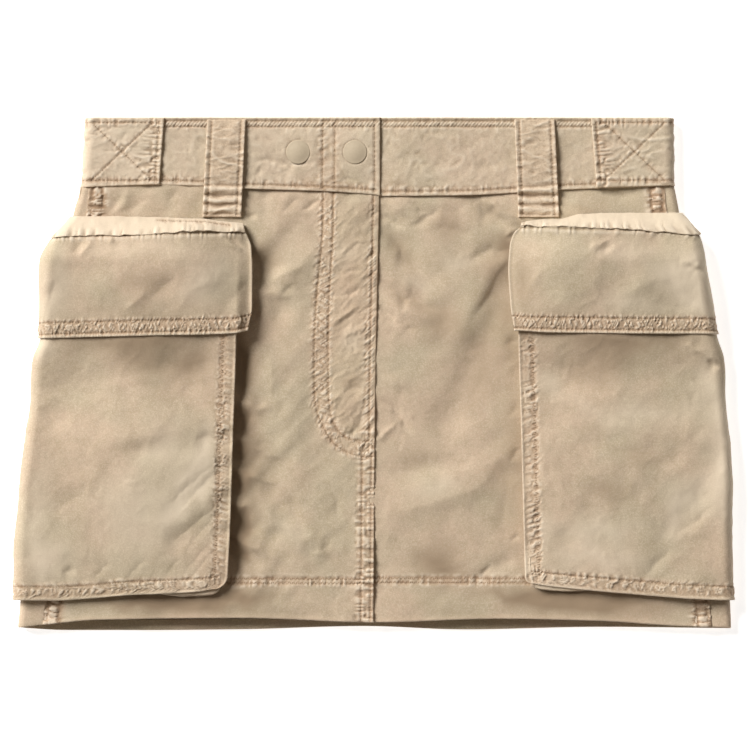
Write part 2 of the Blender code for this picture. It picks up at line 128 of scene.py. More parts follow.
# Relief: shares of the weave and of the pits, and each material's bump strength and depth.
WEAVE_PITCH = 0.62
WEAVE_HEIGHT = 0.35
PIT_DEPTH = 1.3
CANVAS_BUMP = (0.5, 0.0003)
THREAD_BUMP = (0.5, 0.0001)
ENAMEL_BUMP = (0.15, 0.0001)
# How much paler a whole piece is painted: painted highlight, with some paler dye; the flap roof's
# is painted highlight where it faces the light.
BAND_PALE = {"left": 0.45, "right": 0.25}
TAB_PALE = {"left": 0.75, "right": 0.4}
LOOP_PALE = 0.9
LOOP_TOP_DEEPER = 0.25
LOOP_TINGE = 0.4
GUSSET_PALE = 0.7
ROOF_HIGHLIGHT = 0.95

# What a grid keeps for each of its points, by column: where it is, where the plain cloth is and
# its normal, the measures along the cloth, and what its material reads.
PLACE = slice(0, 3)
PLAIN = slice(3, 6)
NORMAL = slice(6, 9)
MEASURES = slice(9, 11)
KEPT = {"seam_tint": 11, "wear_and_hollow_shade": 12, "shade_and_dye": 13}

# Random heights of a noise along each way, before it repeats.
LATTICE = 256
# How an edge rolls under, in degrees.
ROLL_ANGLES = (40.0, 80.0, 125.0, 180.0)
# Rubbed ridges and painted shade in hollows: the cells whose mean a pucker stands out from or sinks
# under, and how far out it is fully rubbed, or in, fully shaded.
WEAR_CELLS = 4
WEAR_HEIGHT = 0.35
# Furthest that a stitch may lie from its nearest point, in cells.
CELLS_ASIDE = 1.5
# Least area of a sheet that is given back, as a share of its length times its width.
LEAST_AREA = 0.3
# Points of a row along an edge, and of a line between two rows.
EDGE_POINTS = 16
BETWEEN_POINTS = 24

# Unevenness of washed cotton: size, height and seed of its lumps and of its sharp ridges.
WORN_LUMPS = ((60, 1.3, 0), (26, 0.65, 2), (9, 0.16, 4), (3.4, 0.05, 6))
WORN_RIDGES = ((19, 0.16, 8), (6.5, 0.05, 11))

# Gains of creases and shades, and how far and in what steps a crease wanders, by its width.
CREASE_GAIN = 1.18
SHADE_GAIN = 1.35
CREASE_BEND = 0.35
CREASE_WANDER = 2.2
CREASE_SEED = 5

# Sewn rows: widths of the groove, of the ribs and of the holes; the folds pinched at a top seam.
ROW_WIDTH = 0.9
ROPE_WIDTH = 2.2
HOLE_WIDTH = 0.7
HOLE_DEPTH = 0.45
PINCH_RISE = 0.9
PINCH_LENGTH = 30.0
# Cover stitch of the waistband: how far down from the waist, and how far it reaches.
HATCH_DOWN = 3.5
HATCH_REACH = 1.9
# Cloth round a snap: how high it stands, where it rises, and how far it fades.
DISH_RISE = 0.75
DISH_RIM = (6.0, 8.5)
DISH_FADE = 6.0

# A stitch: its length in the pitch, and the share along it, width, and height over the cloth.
STITCH_SHARE = 0.62
THREAD_WIDTH = 0.45
THREAD_SIDES = 4
THREAD_PROFILE = ((0.0, 0.15, -0.25), (0.2, 0.9, 0.08), (0.8, 0.9, 0.08), (1.0, 0.15, -0.25))

SNAP_Y = 138.75
SNAP_X = {"snap_outer": -47.8, "snap_inner": -12.2}
SNAP_TURNS = 56
# A cap's turned shape: distance from its axis, and share of its height.
SNAP_PROFILE = (
    (7.3, 0.0), (7.5, 0.12), (7.4, 0.25), (7.1, 0.34), (6.6, 0.38), (6.1, 0.42), (5.0, 0.6),
    (3.6, 0.8), (2.2, 0.94), (1.0, 0.99), (0.02, 1.0),
)

# Topstitching of the fly, from the waistband round to the centre front.
FLY_OUTER = (
    (-32.2, 114), (-32.4, 84), (-35.9, 55), (-37.5, 28), (-37.8, 2), (-37.3, -16), (-35.9, -25),
    (-32.8, -32), (-27, -42.5), (-21, -47), (-11.6, -51), (-2, -52.4),
)
FLY_INNER = (
    (-25.9, 114), (-26, 84), (-28.2, 55), (-29, 28), (-29, 2), (-28.8, -16), (-27, -30),
    (-20, -39), (-14, -41.3), (-1, -42),
)

# Creases: width, height, lean, and the points that each runs through.
LEFT_CREASES = (
    (4.0, -0.9, 0.0, -25, 112, -9, 108),
    (2.0, -0.9, 0.2, -45.6, 101.3, -32.5, 110.6),
    (3.5, -0.9, 0.0, -58.8, 100.3, -50.9, 107.6, -45.3, 112),
    (4.0, -0.6, 0.0, -73.4, 108.8, -62.8, 112),
    (2.6, -1.2, 0.0, -81, 97, -73.4, 100.8),
    (7.0, -1.7, 0.0, -80, 73, -72, 70, -54.7, 66.6),
    (6.0, 1.2, 0.3, -74, 50, -54.7, 65, -43.4, 70),
    (3.6, -1.8, 0.0, -76.6, 48, -74.5, 31),
    (3.0, -0.7, 0.0, -60, 48, -50, 57),
    (2.2, -0.5, 0.2, -25.3, 59.4, -19.7, 63.4, -11.6, 63.9, -2.8, 65.6),
    (2.2, -0.6, 0.2, -24, 46.6, -13.4, 50.8, -4, 55),
    (2.0, -0.5, 0.0, -25.3, 28.8, -13.4, 37.1, -7.2, 41.3),
    (1.8, 0.6, 0.0, -27, 31, -15, 39.3, -9, 43.5),
    (1.5, 0.5, 0.0, -13.4, 84.4, -5, 82),
    (2.0, 0.7, 0.2, -19.9, 22.1, -9.3, 28.4, -3, 29.5),
    (4.0, -0.8, 0.0, -19, -11.3, -4, -7.5),
    (1.8, 0.8, 0.0, -28.3, -18.8, -19.9, -11.6),
    (2.0, 0.8, 0.0, -24, -28.4, -13.6, -38.8),
    (2.6, -0.9, 0.0, -14.7, -40, -8.4, -28.8, -3, -20),
    (6.0, -0.9, 0.0, -60.3, -75, -42.8, -96.9),
    (8.0, 1.3, 0.0, -76, -64, -62, -92, -38, -107, -8, -117),
    (4.0, 0.7, 0.0, -41, -111.5, -27.8, -113.1),
    (2.0, -0.3, 0.0, -34, -111, -26, -104),
    (6.0, -0.9, 0.0, -30, -66, -16, -98),
    (4.2, 2.2, 0.0, -98, 56, -76, 51, -52, 49),
    (5.0, 1.6, 0.0, -110, -8, -58, -26),
    (4.6, 1.7, 0.0, -110, -34, -56, -52),
    (5.5, 1.6, 0.0, -110, -51, -54, -72),
    (6.4, 1.9, 0.0, -112, -68, -54, -97),
    (4.0, 1.4, 0.0, -112, -90, -56, -118),
    (5.0, -2.2, 0.0, -85, 34, -83, 8, -84, -22),
    (4.5, -1.5, 0.0, -86, -18, -80, -40),
    (4.0, -1.2, 0.0, -88, -40, -82, -56),
    (4.5, -1.3, 0.0, -90, -58, -83, -76),
    (5.5, -2.4, 0.0, -102, -74, -88, -88, -70, -103),
    (5.5, -2.4, 0.0, -104, -91, -88, -106, -70, -122),
    (6.0, -1.8, 0.0, -98, -112, -87, -122, -78, -132),
    (5.0, 0.9, 0.0, -66, 20, -62, -30),
    (3.0, -1.0, 0.3, -167.3, 99.6, -161, 107, -156.2, 115.8),
    (3.5, 0.9, 0.0, -164, 98, -158, 105, -152, 116),
    (3.2, -0.9, 0.3, -158, 100, -149, 104.5, -140, 110.6),
    (3.0, -0.8, 0.3, -130, 107.5, -120.9, 116.6),
)
RIGHT_CREASES = (
    (4.0, -0.6, 0.0, 34.7, 91.9, 49.7, 89.4, 64, 88.4),
    (7.0, -0.6, 0.0, 42, 99, 56, 104, 68, 101.3),
    (2.8, 1.6, 0.0, 66, 111.5, 80, 101, 92, 92.5),
    (4.2, -1.7, 0.0, 59, 111, 73, 99.5, 84, 90),
    (1.8, 0.7, 0.0, 81, 86, 91, 92),
    (1.8, -0.6, 0.0, 82, 83.5, 91, 88.5),
    (5.0, -1.7, 0.0, 58, 72, 74, 77, 92, 81),
    (5.5, -1.15, 0.2, 90, 82, 80, 62, 68, 42, 58, 28),
    (12.0, -0.9, 0.5, 86, 70, 76.3, 52.9, 65.3, 37.1, 58, 22),
    (5.5, -1.4, 0.0, 1, 98, 16.9, 76.6, 33, 58),
    (4.5, -1.6, 0.3, 1, 60, 21.9, 45.9, 44, 37),
    (4.0, 0.9, 0.0, 1, 49, 20, 38, 38, 31),
    (5.0, 0.5, 0.0, 5, 61, 20, 53, 34, 47),
    (2.4, -1.1, 0.0, 0, 45, 16, 29),
    (2.5, -0.4, 0.0, 16.9, 29.1, 26.9, 27.1),
    (2.8, -1.1, 0.0, 0, 103, 20, 90),
    (3.0, -1.2, 0.0, 22, 91, 42, 104),
    (2.5, -0.9, 0.0, 21, 109, 36, 98),
    (2.2, 0.8, 0.0, 8, 108, 22, 98),
    (4.0, 0.6, 0.0, 5, 0, 24, -12),
    (4.0, -0.5, 0.0, 5, -5, 22, -16),
    (3.5, -1.2, 0.2, 0, -13, 13.4, -22.5, 25, -38),
    (3.0, 0.6, 0.0, 14, -19.5, 27, -32.5),
    (2.0, 0.9, 0.0, 0, -43, 14, -30),
    (3.5, -0.8, 0.0, 83, -27, 92, -16),
    (3.2, -1.0, 0.0, 84, -55, 92, -45),
    (9.0, -1.0, 0.0, 76, -54, 90, -67),
    (14.0, 2.2, 0.0, 2, -88, 30, -84, 52, -75, 76, -55),
    (9.0, -0.9, 0.0, 6, -62, 36, -61, 62, -52),
    (8.0, -0.9, 0.0, 80, -64, 84, -90, 80, -108),
    (1.6, -0.8, 0.3, 74, -118.8, 68, -124, 65, -129),
    (1.6, -0.7, 0.3, 85, -104.8, 91, -100.2),
    (3.5, -0.8, 0.0, 81, 19, 91, 22),
    (3.4, 1.0, 0.0, 114, 114, 125.3, 105.6, 143, 101),
    (4.0, -0.8, 0.0, 139, 113, 172, 112),
)
BAND_CREASES = {
    "left": (
        (2.2, -0.8, 0.3, -80, 131, -66, 134, -52, 130, -33, 133),
        (2.0, -0.6, 0.0, -74, 123, -70, 130),
        (3.0, -0.6, 0.0, -60, 128, -48, 126),
        (3.0, 0.5, 0.0, -100, 150, -90, 128),
        (4.0, -0.6, 0.0, -130, 150, -112, 140),
        (2.4, -0.7, 0.0, -24, 122, -10, 121),
    ),
    "right": (
        (4.0, -0.6, 0.0, 10, 136, 34, 131),
        (3.0, 0.5, 0.0, 30, 150, 62, 143),
        (4.0, -0.6, 0.0, 56, 128, 84, 134),
        (3.0, -0.6, 0.0, 118, 146, 134, 133),
    ),
}
BAG_CREASES = {
    "left": (
        (5.0, -0.9, 0.0, 97, -41, 112, -39),
        (2.2, -0.34, 0.3, 99, -55, 112, -66, 129, -82),
        (1.8, -0.24, 0.0, 98, -60, 110, -72, 122, -86),
        (2.2, -0.36, 0.3, 99, -83, 112, -93, 126, -106),
        (1.8, -0.26, 0.0, 99, -88, 108, -98, 120, -114),
        (1.8, -0.3, 0.0, 101, -103, 112, -116, 122, -128),
        (1.6, -0.28, 0.0, 103, -113, 114, -126),
        (2.0, -0.28, 0.0, 121, -114, 132, -128),
        (2.2, -0.4, 0.0, 142, -114, 156, -129),
        (2.0, -0.4, 0.0, 165, -116, 176, -129),
        (8.0, -0.8, 0.0, 132, -47, 150, -51, 166, -46),
        (9.0, 0.8, 0.0, 130, -36, 150, -40, 170, -36),
        (6.0, -0.8, 0.0, 190, -35, 210, -20),
        (4.0, -0.8, 0.0, 186, -125, 196, -122),
        (12.0, 0.9, 0.0, 120, 0, 190, -20),
        (8.0, -0.7, 0.0, 176, -70, 205, -88),
    ),
    "right": (
        (3.0, 1.0, 0.0, 190, 21, 202, 14, 216, 8),
        (3.0, -1.2, 0.0, 207, 8, 216, 3),
        (11.0, 0.8, 0.0, 104, -20, 150, -14, 214, -8),
        (9.0, -0.9, 0.0, 132, -40, 165, -50, 196, -54),
        (5.0, -0.8, 0.2, 186, -101, 200, -92, 212, -80),
        (5.0, -0.9, 0.0, 168, -126, 178, -117, 186, -108),
        (7.0, 0.6, 0.0, 108, -60, 130, -86),
        (6.0, -0.6, 0.0, 112, -96, 130, -108),
    ),
}
FLAP_CREASES = {
    "left": (
        (2.6, 1.0, 0.2, 185.6, 73.3, 180, 79, 177, 84),
        (3.4, -1.1, 0.0, 190, 74, 184.5, 80, 181, 85),
        (2.2, 0.8, 0.0, 167.5, 81, 162.8, 85.5),
        (9.0, -1.1, 0.0, 204, 67, 180, 63, 160, 66),
        (5.0, -0.8, 0.2, 141, 46, 132, 55, 124, 60),
        (5.0, 0.9, 0.0, 158, 38, 150, 46, 143, 53),
        (10.0, 0.7, 0.0, 131, 43, 108, 55, 85, 71),
        (6.0, -0.5, 0.0, 96, 40, 86, 52, 80, 60),
        (1.8, -1.0, 0.0, 94, 87, 88, 83, 81, 79),
        (1.8, 0.8, 0.0, 95, 84.5, 89, 80.5, 82, 76),
        (4.0, -0.7, 0.0, 200, 60, 206, 40),
    ),
    "right": (
        (2.8, 1.0, 0.0, 134, 77, 147, 84),
        (3.0, -0.8, 0.0, 138, 75, 150, 82),
        (12.0, -1.1, 0.0, 139, 69, 164, 54),
        (8.0, -0.9, 0.0, 101, 60, 115, 43),
        (3.0, -0.9, 0.0, 193, 68, 202, 66, 210, 61),
        (2.4, 0.7, 0.0, 191, 71, 208, 66),
        (7.0, 0.8, 0.0, 150, 50, 186, 62),
        (6.0, -0.6, 0.0, 180, 40, 205, 46),
    ),
}

# Painted shadows beside and below the pockets and under the flaps, painted highlight on sides
# turned from the key light, and some deeper and paler dye, given as creases are: width, amount,
# lean, and points.
BAND_SHADES = {
    "left": ((8.0, -0.9, 0.0, -54, 118, -30, 116, -2, 116), (7.0, -0.4, 0.0, -30, 126, -28, 152)),
    "right": ((6.0, -0.5, 0.0, 2, 114, 14, 118, 26, 117),),
}
FRONT_SHADES = {
    "left": (
        (18.0, -0.6, 0.0, -88, 44, -82, -30, -82, -90, -88, -160),
        (6.0, -0.9, 0.0, -85, 26, -82, 6, -84, -16),
        (5.5, -0.9, 0.0, -87, -18, -83, -38),
        (4.5, -0.8, 0.0, -87, -41, -83, -54),
        (5.5, -0.9, 0.0, -88, -59, -83, -76),
        (6.0, -1.0, 0.0, -95, -80, -87, -90, -76, -102),
        (6.0, -1.0, 0.0, -96, -98, -88, -108, -76, -118),
        (9.0, -0.95, 0.0, -196, -145, -150, -143, -100, -142, -44, -138),
        (9.0, -0.6, 0.0, -86, 82, -70, 74, -54, 67),
        (9.0, -0.2, 0.0, -100, -148, -30, -149),
        (6.0, -0.9, 0.0, -172, 124, -174, 108, -176, 92),
        (8.0, 0.25, 0.0, -66, -20, -62, -50),
        (8.0, 0.3, 0.0, -70, -72, -50, -104, -30, -112),
        (8.0, 0.4, 0.0, -46, 66, -24, 74, -2, 84),
        (6.0, 0.4, 0.0, -24, 24, -8, 12),
        (6.0, 0.35, 0.0, -34, -22, -24, -36),
        (6.0, 0.35, 0.0, -14, -40, -2, -60),
        (7.0, 0.35, 0.0, -22, 22, -6, 24),
        (6.0, -0.3, 0.0, -22, 58, -8, 60),
        (6.0, -0.35, 0.0, -24, -2, -6, -6),
    ),
    "right": (
        (14.0, -0.45, 0.0, 94, 112, 86, 70, 84, 40, 88, 12),
        (14.0, -0.35, 0.0, 92, 40, 88, -30, 88, -90, 84, -140),
        (13.0, -0.3, 0.0, 20, 44, 44, 36, 66, 14),
        (9.0, -0.25, 0.0, 60, 76, 76, 58),
        (8.0, -0.5, 0.0, 72, 90, 90, 70),
        (6.0, -0.3, 0.0, 60, 110, 84, 92),
        (8.0, -0.3, 0.0, 46, 48, 32, 10),
        (12.0, -0.4, 0.0, 74, 46, 64, -4, 48, -38),
        (9.0, -0.3, 0.0, 76, 52, 84, 20, 84, -4),
        (7.0, 0.4, 0.0, 36, 74, 58, 68, 72, 64),
        (10.0, -0.28, 0.0, 12, -48, 30, -54, 46, -50),
        (7.0, 0.4, 0.0, 14, -76, 40, -72, 62, -60),
        (7.0, 0.3, 0.0, 14, 64, 40, 48),
        (14.0, -0.3, 0.0, 20, -112, 40, -124, 58, -134),
        (9.0, -1.1, 0.0, 50, -138, 100, -139, 130, -141, 196, -146),
        (12.0, -0.4, 0.0, 14, -112, 44, -122, 66, -126),
        (9.0, -0.2, 0.0, 20, -149, 84, -148),
        (7.0, -0.45, 0.0, 2, 96, 16, 78, 32, 62),
        (9.0, -0.35, 0.0, 30, 98, 46, 94, 64, 92),
        (6.0, -0.35, 0.0, 4, 54, 22, 44, 40, 38),
        (6.0, -0.9, 0.0, 175, 124, 177, 108, 179, 92),
    ),
}
BAG_SHADES = {
    "left": (
        (10.0, -0.6, 0.0, 88, 22, 150, 21, 214, 20),
        (14.0, -0.4, 0.0, 86, 8, 130, 4, 176, 2),
        (9.0, -0.3, 0.0, 102, 18, 112, 4, 124, -4),
        (8.0, 0.8, 0.0, 104, -50, 122, -78, 134, -102),
        (24.0, 0.5, 0.0, 108, -94, 150, -84, 180, -66),
        (14.0, 0.35, 0.0, 112, -30, 134, -46, 150, -54),
        (9.0, 0.75, 0.0, 104, -18, 108, -60, 106, -96),
        (13.0, 0.6, 0.0, 190, -98, 214, -140),
        (6.0, 0.7, 0.0, 86, -128, 112, -133, 156, -133),
        (6.0, 0.7, 0.0, 200, 30, 214, 4),
        (8.0, 0.45, 0.0, 204, -36, 212, -90, 214, -146),
        (8.0, -0.2, 0.0, 98, 10, 99, -40),
    ),
    "right": (
        (10.0, -0.6, 0.0, 92, 22, 150, 21, 220, 20),
        (14.0, -0.42, 0.0, 94, 8, 128, 1, 176, 3),
        (9.0, -0.4, 0.0, 124, -68, 168, -80),
        (10.0, 0.5, 0.0, 106, -92, 140, -98, 174, -96),
        (10.0, 0.4, 0.0, 98, -6, 153, -30, 214, -14),
        (8.0, -0.3, 0.0, 132, -42, 165, -52, 196, -54),
        (10.0, 0.55, 0.0, 98, -104, 140, -116, 184, -118),
        (8.0, 1.0, 0.0, 90, -96, 98, -131, 150, -133),
        (10.0, 0.75, 0.0, 176, -108, 208, -56),
        (8.0, 0.5, 0.0, 98, 4, 118, -14),
        (8.0, 0.5, 0.0, 104, -80, 106, -110),
        (5.0, -0.3, 0.0, 134, -132, 160, -134, 205, -137),
        (12.0, 0.8, 0.0, 206, 34, 216, -30, 222, -70, 226, -130),
    ),
}
FLAP_SHADES = {
    "left": (
        (10.0, -0.3, 0.0, 90, 34, 150, 32, 204, 32),
        (9.0, -0.3, 0.0, 112, 62, 150, 56, 172, 62),
        (12.0, 0.6, 0.0, 134, 46, 110, 58, 84, 78),
        (9.0, 0.6, 0.0, 198, 84, 204, 20),
        (7.0, 0.25, 0.0, 100, 80, 150, 78, 196, 78),
    ),
    "right": (
        (9.0, -0.3, 0.0, 94, 34, 136, 33),
        (8.0, -0.45, 0.0, 90, 84, 92, 56, 92, 30),
        (8.0, 0.35, 0.0, 128, 76, 150, 77, 184, 77),
        (14.0, 0.9, 0.0, 166, 74, 198, 56, 210, 26),
        (9.0, 0.6, 0.0, 196, 78, 208, 56, 212, 30),
        (9.0, 0.4, 0.0, 130, 46, 185, 42),
        (9.0, 0.9, 0.0, 200, 86, 214, 52, 220, 24),
    ),
}
# Pleats across the lower end of a belt loop: height, rise and width.
LOOP_PLEATS = (
    (117.8, -0.5, 1.0), (115.2, 0.5, 1.6), (111.6, -0.5, 1.0), (108.7, 0.5, 1.6),
    (105.6, -0.55, 1.0), (102.5, 0.5, 1.5), (99.8, -0.3, 0.8),
)

MM = 0.001
SIGN = {"left": -1.0, "right": 1.0}

# Cloth thicknesses, and the step from one layer of cloth to the next one on it.
CLOTH_WALL = 1.2
BAND_WALL = 1.6
GAP = 0.3
LAYER = 1.55

# Folded sides.
SKIRT_BEND = 4.5
SKIRT_THICK = 9.0
TAB_BEND = 6.0
BAG_BEND = 7.0
FLAP_BEND = 8.5
TAB_WRAP = 46.0
BAG_WRAP = 50.0
FLAP_WRAP = 46.0

# First and last row of a surface, and how far from them it is fitted to the piece's own edges.
FRONT_ROWS = (-157.0, 114.0, 20.0)
BACK_ROWS = (-159.0, 117.0, 20.0)
BAG_ROWS = (-140.0, 80.0, 30.0)
FLAP_ROWS = (22.0, 88.0, 30.0)

# A span says where a height starts to change and where it has changed. Under the back, by height
# up the skirt: where pockets and flaps lie. By the distance in from its side: where they end.
BAG_BEGINS = (-152.0, -140.0)
FLAP_BEGINS = (8.0, 20.0)
FLAP_ENDS = (84.0, 94.0)
WRAP_ENDS = (56.0, 80.0)
# On the front, by the distance in from its side: its face rises, and its folds begin.
FACE_RISES = (8.0, 58.0)
FOLDS_BEGIN = (20.0, 60.0)

# Closure at the centre front, where the left half laps over the right half.
FLY_RISE = 0.9
FLY_RISES = (-70.0, -10.0)
FLY_FALLS = (0.0, 14.0)
FRONT_UNDERLAP = 12.0
BAND_UNDERLAP = -58.0

# Fronts: where the fly's doubled cloth lies, how the right half sinks under the left one, how both
# go on under the waistband, and the heights that the rows of the side seams span.
FLY_ACROSS = (-31.0, -26.0)
FLY_UP = (-50.0, -36.0)
FLY_DOWN = (112.0, 102.0)
UNDERLAP_SINK = 0.8
UNDERLAP_SINKS = (-1.0, -9.0)
TUCK_SPAN = (108.0, 114.0)
TUCK_DEPTH = 5.0
TUCK_DROP = 1.1
SEAM_SPAN = (-156.0, 114.0)

# Waistband, tabs and loops.
WAIST_Y = 160.0
BAND_MIDDLE_Y = 140.0
TAB_LOW_Y = 117.6
TAB_INSET = 0.4
LOOP_SPAN = (98.5, 158.5)
LOOP_CLIMBS = (-7.0, -1.0)
PLEATS_END = (117.0, 123.0)

# Pockets: how far out their face reaches, their fullness, and their fallen upper corner.
BAG_REACH = (93.0, 225.0)
BAG_TOP_Y = 80.0
BAG_CORNER = {"left": 8.0, "right": 3.5}
BELLY_RISES = (-140.0, -80.0)
CORNER_DROP = 5.2
CORNER_ACROSS = (122.0, 84.0)
CORNER_UP = (20.0, 80.0)

# Flaps: how far out they reach, their bulge, their inner ear, and their droop past the pocket.
FLAP_REACH = (80.0, 212.0)
FLAP_OVER_BAG = 2.0
FLAP_BULGE = 3.6
BULGE_UP = (26.0, 70.0)
BULGE_DOWN = (89.0, 70.0)
BULGE_ACROSS = (78.0, 108.0)
EAR_DROP = 2.5
EAR_ACROSS = (-4.0, 8.0)
EAR_UP = (74.0, 88.0)
FLAP_DROOP = {"left": (1.6, 4.2), "right": (1.2, 0.6)}
DROOP_DOWN = (70.0, 46.0)
DROOP_ACROSS = (0.0, 9.0)
SEAM_TO_WALL = 1.5
SEAM_WAVES = (72.0, 88.0)
ROOF_SETBACK = 1.0
ROOF_BULGE = 1.2
ROOF_LIFT = 0.5

# Gussets: their path and its corner, their bow, and the lip at their lower edge.
GUSSET_TOP_Y = 78.0
GUSSET_SETBACK = 2.5
GUSSET_CORNER = 7.0
GUSSET_CORNER_AT = (100.0, -130.0)
GUSSET_END = 185.0
GUSSET_BOW = 1.6
GUSSET_WAVE = 0.6
GUSSET_WAVE_RUN = 7.0
GUSSET_BOW_FADE = 0.7
GUSSET_LIP = 5.4
LIP_ENDS = (160.0, 115.0)
FLANGE_START = 0.62


def table(columns, *rows):
    """Give the columns of a short table of measurements their names."""
    return {name: np.array(column, float) for name, column in zip(columns.split(), zip(*rows))}


# Half width of the flat skirt on each side, by height.
SKIRT_SIDE = table(
    "at left right",
    (-162, 223.2, 224.6), (-120, 219.5, 220.5), (-60, 214, 215), (0, 208, 209), (60, 199, 200),
    (100, 188.5, 191.5), (117, 184, 188.2), (160, 181, 187.6),
)
# Side seam on the front face, by height.
SIDE_SEAM = table("at left right", (-155, 207, 210.6), (115, 178, 181))
# Free edge of the left half at the centre front, by height.
FLY_EDGE = table("at x", (-155, -1.2), (-15, 0), (110, 2.5), (160, 3.2))
# Lower edge of the front halves and of the back, across the garment.
FRONT_HEM = table(
    "at y",
    (-222, -158), (-205, -156), (-171, -153), (-84, -152), (0, -154.7), (78, -152.5),
    (141, -153.8), (190, -157), (222, -158),
)
BACK_HEM = table(
    "at y",
    (-222, -158.5), (-193, -160), (-147, -160), (-84, -159.5), (-6, -157.5), (56, -159.6),
    (141, -158), (222, -158.8),
)
# Lower edge of the waistband on the front and round the back.
BAND_EDGE = table(
    "at y",
    (-184, 116.9), (-135, 118.6), (-106, 118), (-81, 116.4), (-33, 114.8), (0, 112.6),
    (6, 111.7), (60, 112.3), (85, 113.6), (116, 115.6), (187, 118.2),
)
BAND_EDGE_BACK = 117.5
# Height of the middle of the front over the floor, by height up the skirt.
MIDDLE_TOP = table("at z", (-160, 10.5), (-100, 11.0), (0, 11.3), (80, 11.0), (112, 10.6))
BAND_MIDDLE_TOP = 11.2
BAND_SIDE_TOP = 10.6

# Soft ridges and hollows: a line from x0, y0 to x1, y1, how wide and how high.
FRONT_FOLDS = (
    (83, 59, 47, -29, 10, -2.0),
    (78, 65, 57, 27, 8, 1.6),
    (3, 99, 32, 59, 9, -1.6),
    (3, 56, 41, 40, 8, -1.3),
    (85, -52, 23, -72, 9, 1.5),
    (66, -127, 83, -117, 5, -1.0),
    (-53, 102, -78, 71, 8, 1.4),
    (-40, 74, -78, 28, 8, 1.3),
    (-74, 66, -60, 40, 8, -1.6),
    (-47, 71, -53, -29, 12, 1.0),
    (-53, -29, -47, -116, 12, 1.0),
)

# Pocket bags: inner edge, silhouette and the face's height at its two edges, by height.
BAG_INNER = table(
    "at left right",
    (-140, 92.8, 95), (-91, 90.4, 93.5), (-35, 88.6, 92), (22, 86.7, 90.3), (80, 85.9, 89.5),
)
BAG_SIDE = table(
    "at left right",
    (-140, 225.3, 225.3), (-115, 225.3, 224.4), (-100, 224.7, 224.1), (-72, 222.2, 224.7),
    (-44, 219, 223.4), (-16, 215.5, 220.3), (10, 213, 218), (20, 208.9, 214.4),
    (26, 207.4, 212.8), (40, 207.2, 209.6), (60, 205.5, 206), (80, 203, 204),
)
BAG_TOP = table(
    "at inner outer",
    (-140, 16, 14.8), (-110, 18.2, 16.7), (-60, 20, 18), (0, 21.8, 19), (60, 23, 19),
    (92, 22.5, 18),
)
BAG_BOTTOM = table(
    "at left right",
    (93, -134.2, -130.6), (110, -135.8, -132.6), (130, -136.7, -134.4), (152, -137.5, -136.2),
    (178, -139.6, -138.2), (206, -141.0, -140.0), (225, -140.8, -140.8),
)
BAG_BELLY = 1.8
BAG_FOLDS = {
    "left": (
        (180, 11, 200, -35, 12, -1.2),
        (97, -44, 146, -45, 8, -0.9),
        (97, -60, 127, -84, 6, -0.9),
        (97, -86, 124, -104, 6, -0.9),
        (191, -117, 183, -128, 5, -0.8),
    ),
    "right": (
        (105, -15, 214, -7, 12, 1.0),
        (137, -41, 185, -47, 9, -1.3),
        (219, -41, 203, -76, 8, -0.9),
        (203, -76, 180, -99, 8, -0.9),
    ),
}

# Dip across a pocket's face, from under its flap: the height on it that is deepest, across.
DIP_DEPTH = 4.8
DIP_START = 31.0
DIP_END = 42.0
DIP_FROM_EDGE = (0.0, 30.0)
DIP_SHARES = (0.45, 0.55)
DIP_AT = table(
    "at left right",
    (86, 5, 3), (120, 4, -4), (150, 0, -12), (180, -7, -10), (206, -5, -4),
)

# Places where a pocket's inner edge sinks towards the front: height, depth and half length.
EDGE_DIPS = {
    "left": (
        (-16.5, 1.8, 7.0), (-39.4, 1.9, 6.0), (-56.6, 1.9, 6.0), (-78.0, 2.2, 8.0),
        (-98.0, 1.8, 5.0), (-130.0, 1.6, 10.0),
    ),
    "right": ((-60.0, 2.0, 14.0), (-110.0, 2.2, 12.0)),
}
EDGE_DIP_ENDS = (0.0, 14.0)

# Pocket flaps: silhouette by height, and the lower edge, top seam and rear line across.
FLAP_SIDE = table(
    "at left right",
    (22, 210.6, 216.2), (40, 209.9, 212.8), (59, 209.4, 209.7), (68, 209, 208.2),
    (78, 206.6, 206.6), (86, 202, 204.2), (92, 198, 200.5),
)
FLAP_INNER = table(
    "at left right",
    (22, 80.5, 88.2), (30, 78.8, 87.2), (42, 76.8, 85.4), (65, 76.7, 84), (79, 77.4, 84.9),
    (86, 79.5, 87), (92, 82.5, 92),
)
FLAP_EDGES = {
    "left": table(
        "at low seam rear",
        (77, 28.2, 88.6, 93.8), (88, 25.8, 88.6, 95), (110, 25, 88.2, 97),
        (150, 24.2, 86.8, 98.2), (212, 22.8, 85.8, 98.6),
    ),
    "right": table(
        "at low seam rear",
        (85, 27.4, 91.5, 93.2), (104, 26.4, 91.6, 96.4), (117, 26.2, 91, 97.2),
        (130, 26, 90.4, 100.2), (172, 25.6, 90, 100.8), (217, 25.4, 86.4, 101),
    ),
}

# Side tabs on the waistband: inner edge by height.
TAB_INNER = table("at left right", (117, 135, 139.4), (160, 132, 135.9))
# Belt loops: both long edges by height, and the height over the cloth under them.
LOOP_EDGES = table(
    "at left_start left_end right_start right_end",
    (98, -106.9, -83.8, 90.5, 115), (159, -104, -81, 88, 112),
)
LOOP_RISE = table(
    "at z",
    (98.5, 0), (103, 0.6), (105.5, 0.3), (107.5, 1.0), (111, 0.3), (114.5, 1.6), (118, 1.0),
    (130, 1.6), (150, 0.8), (158.5, 0),
)


def ease(value):
    """Rise smoothly from 0 to 1 while the value does, flat at both ends."""
    part = np.clip(value, 0.0, 1.0)
    return part * part * (3.0 - 2.0 * part)


def during(value, start, end):
    """Rise smoothly from 0 to 1 while the value goes over a span."""
    return ease((value - start) / (end - start))


def blend(start, end, part):
    """Mix two sizes by a part of 0 to 1."""
    return start + (end - start) * part


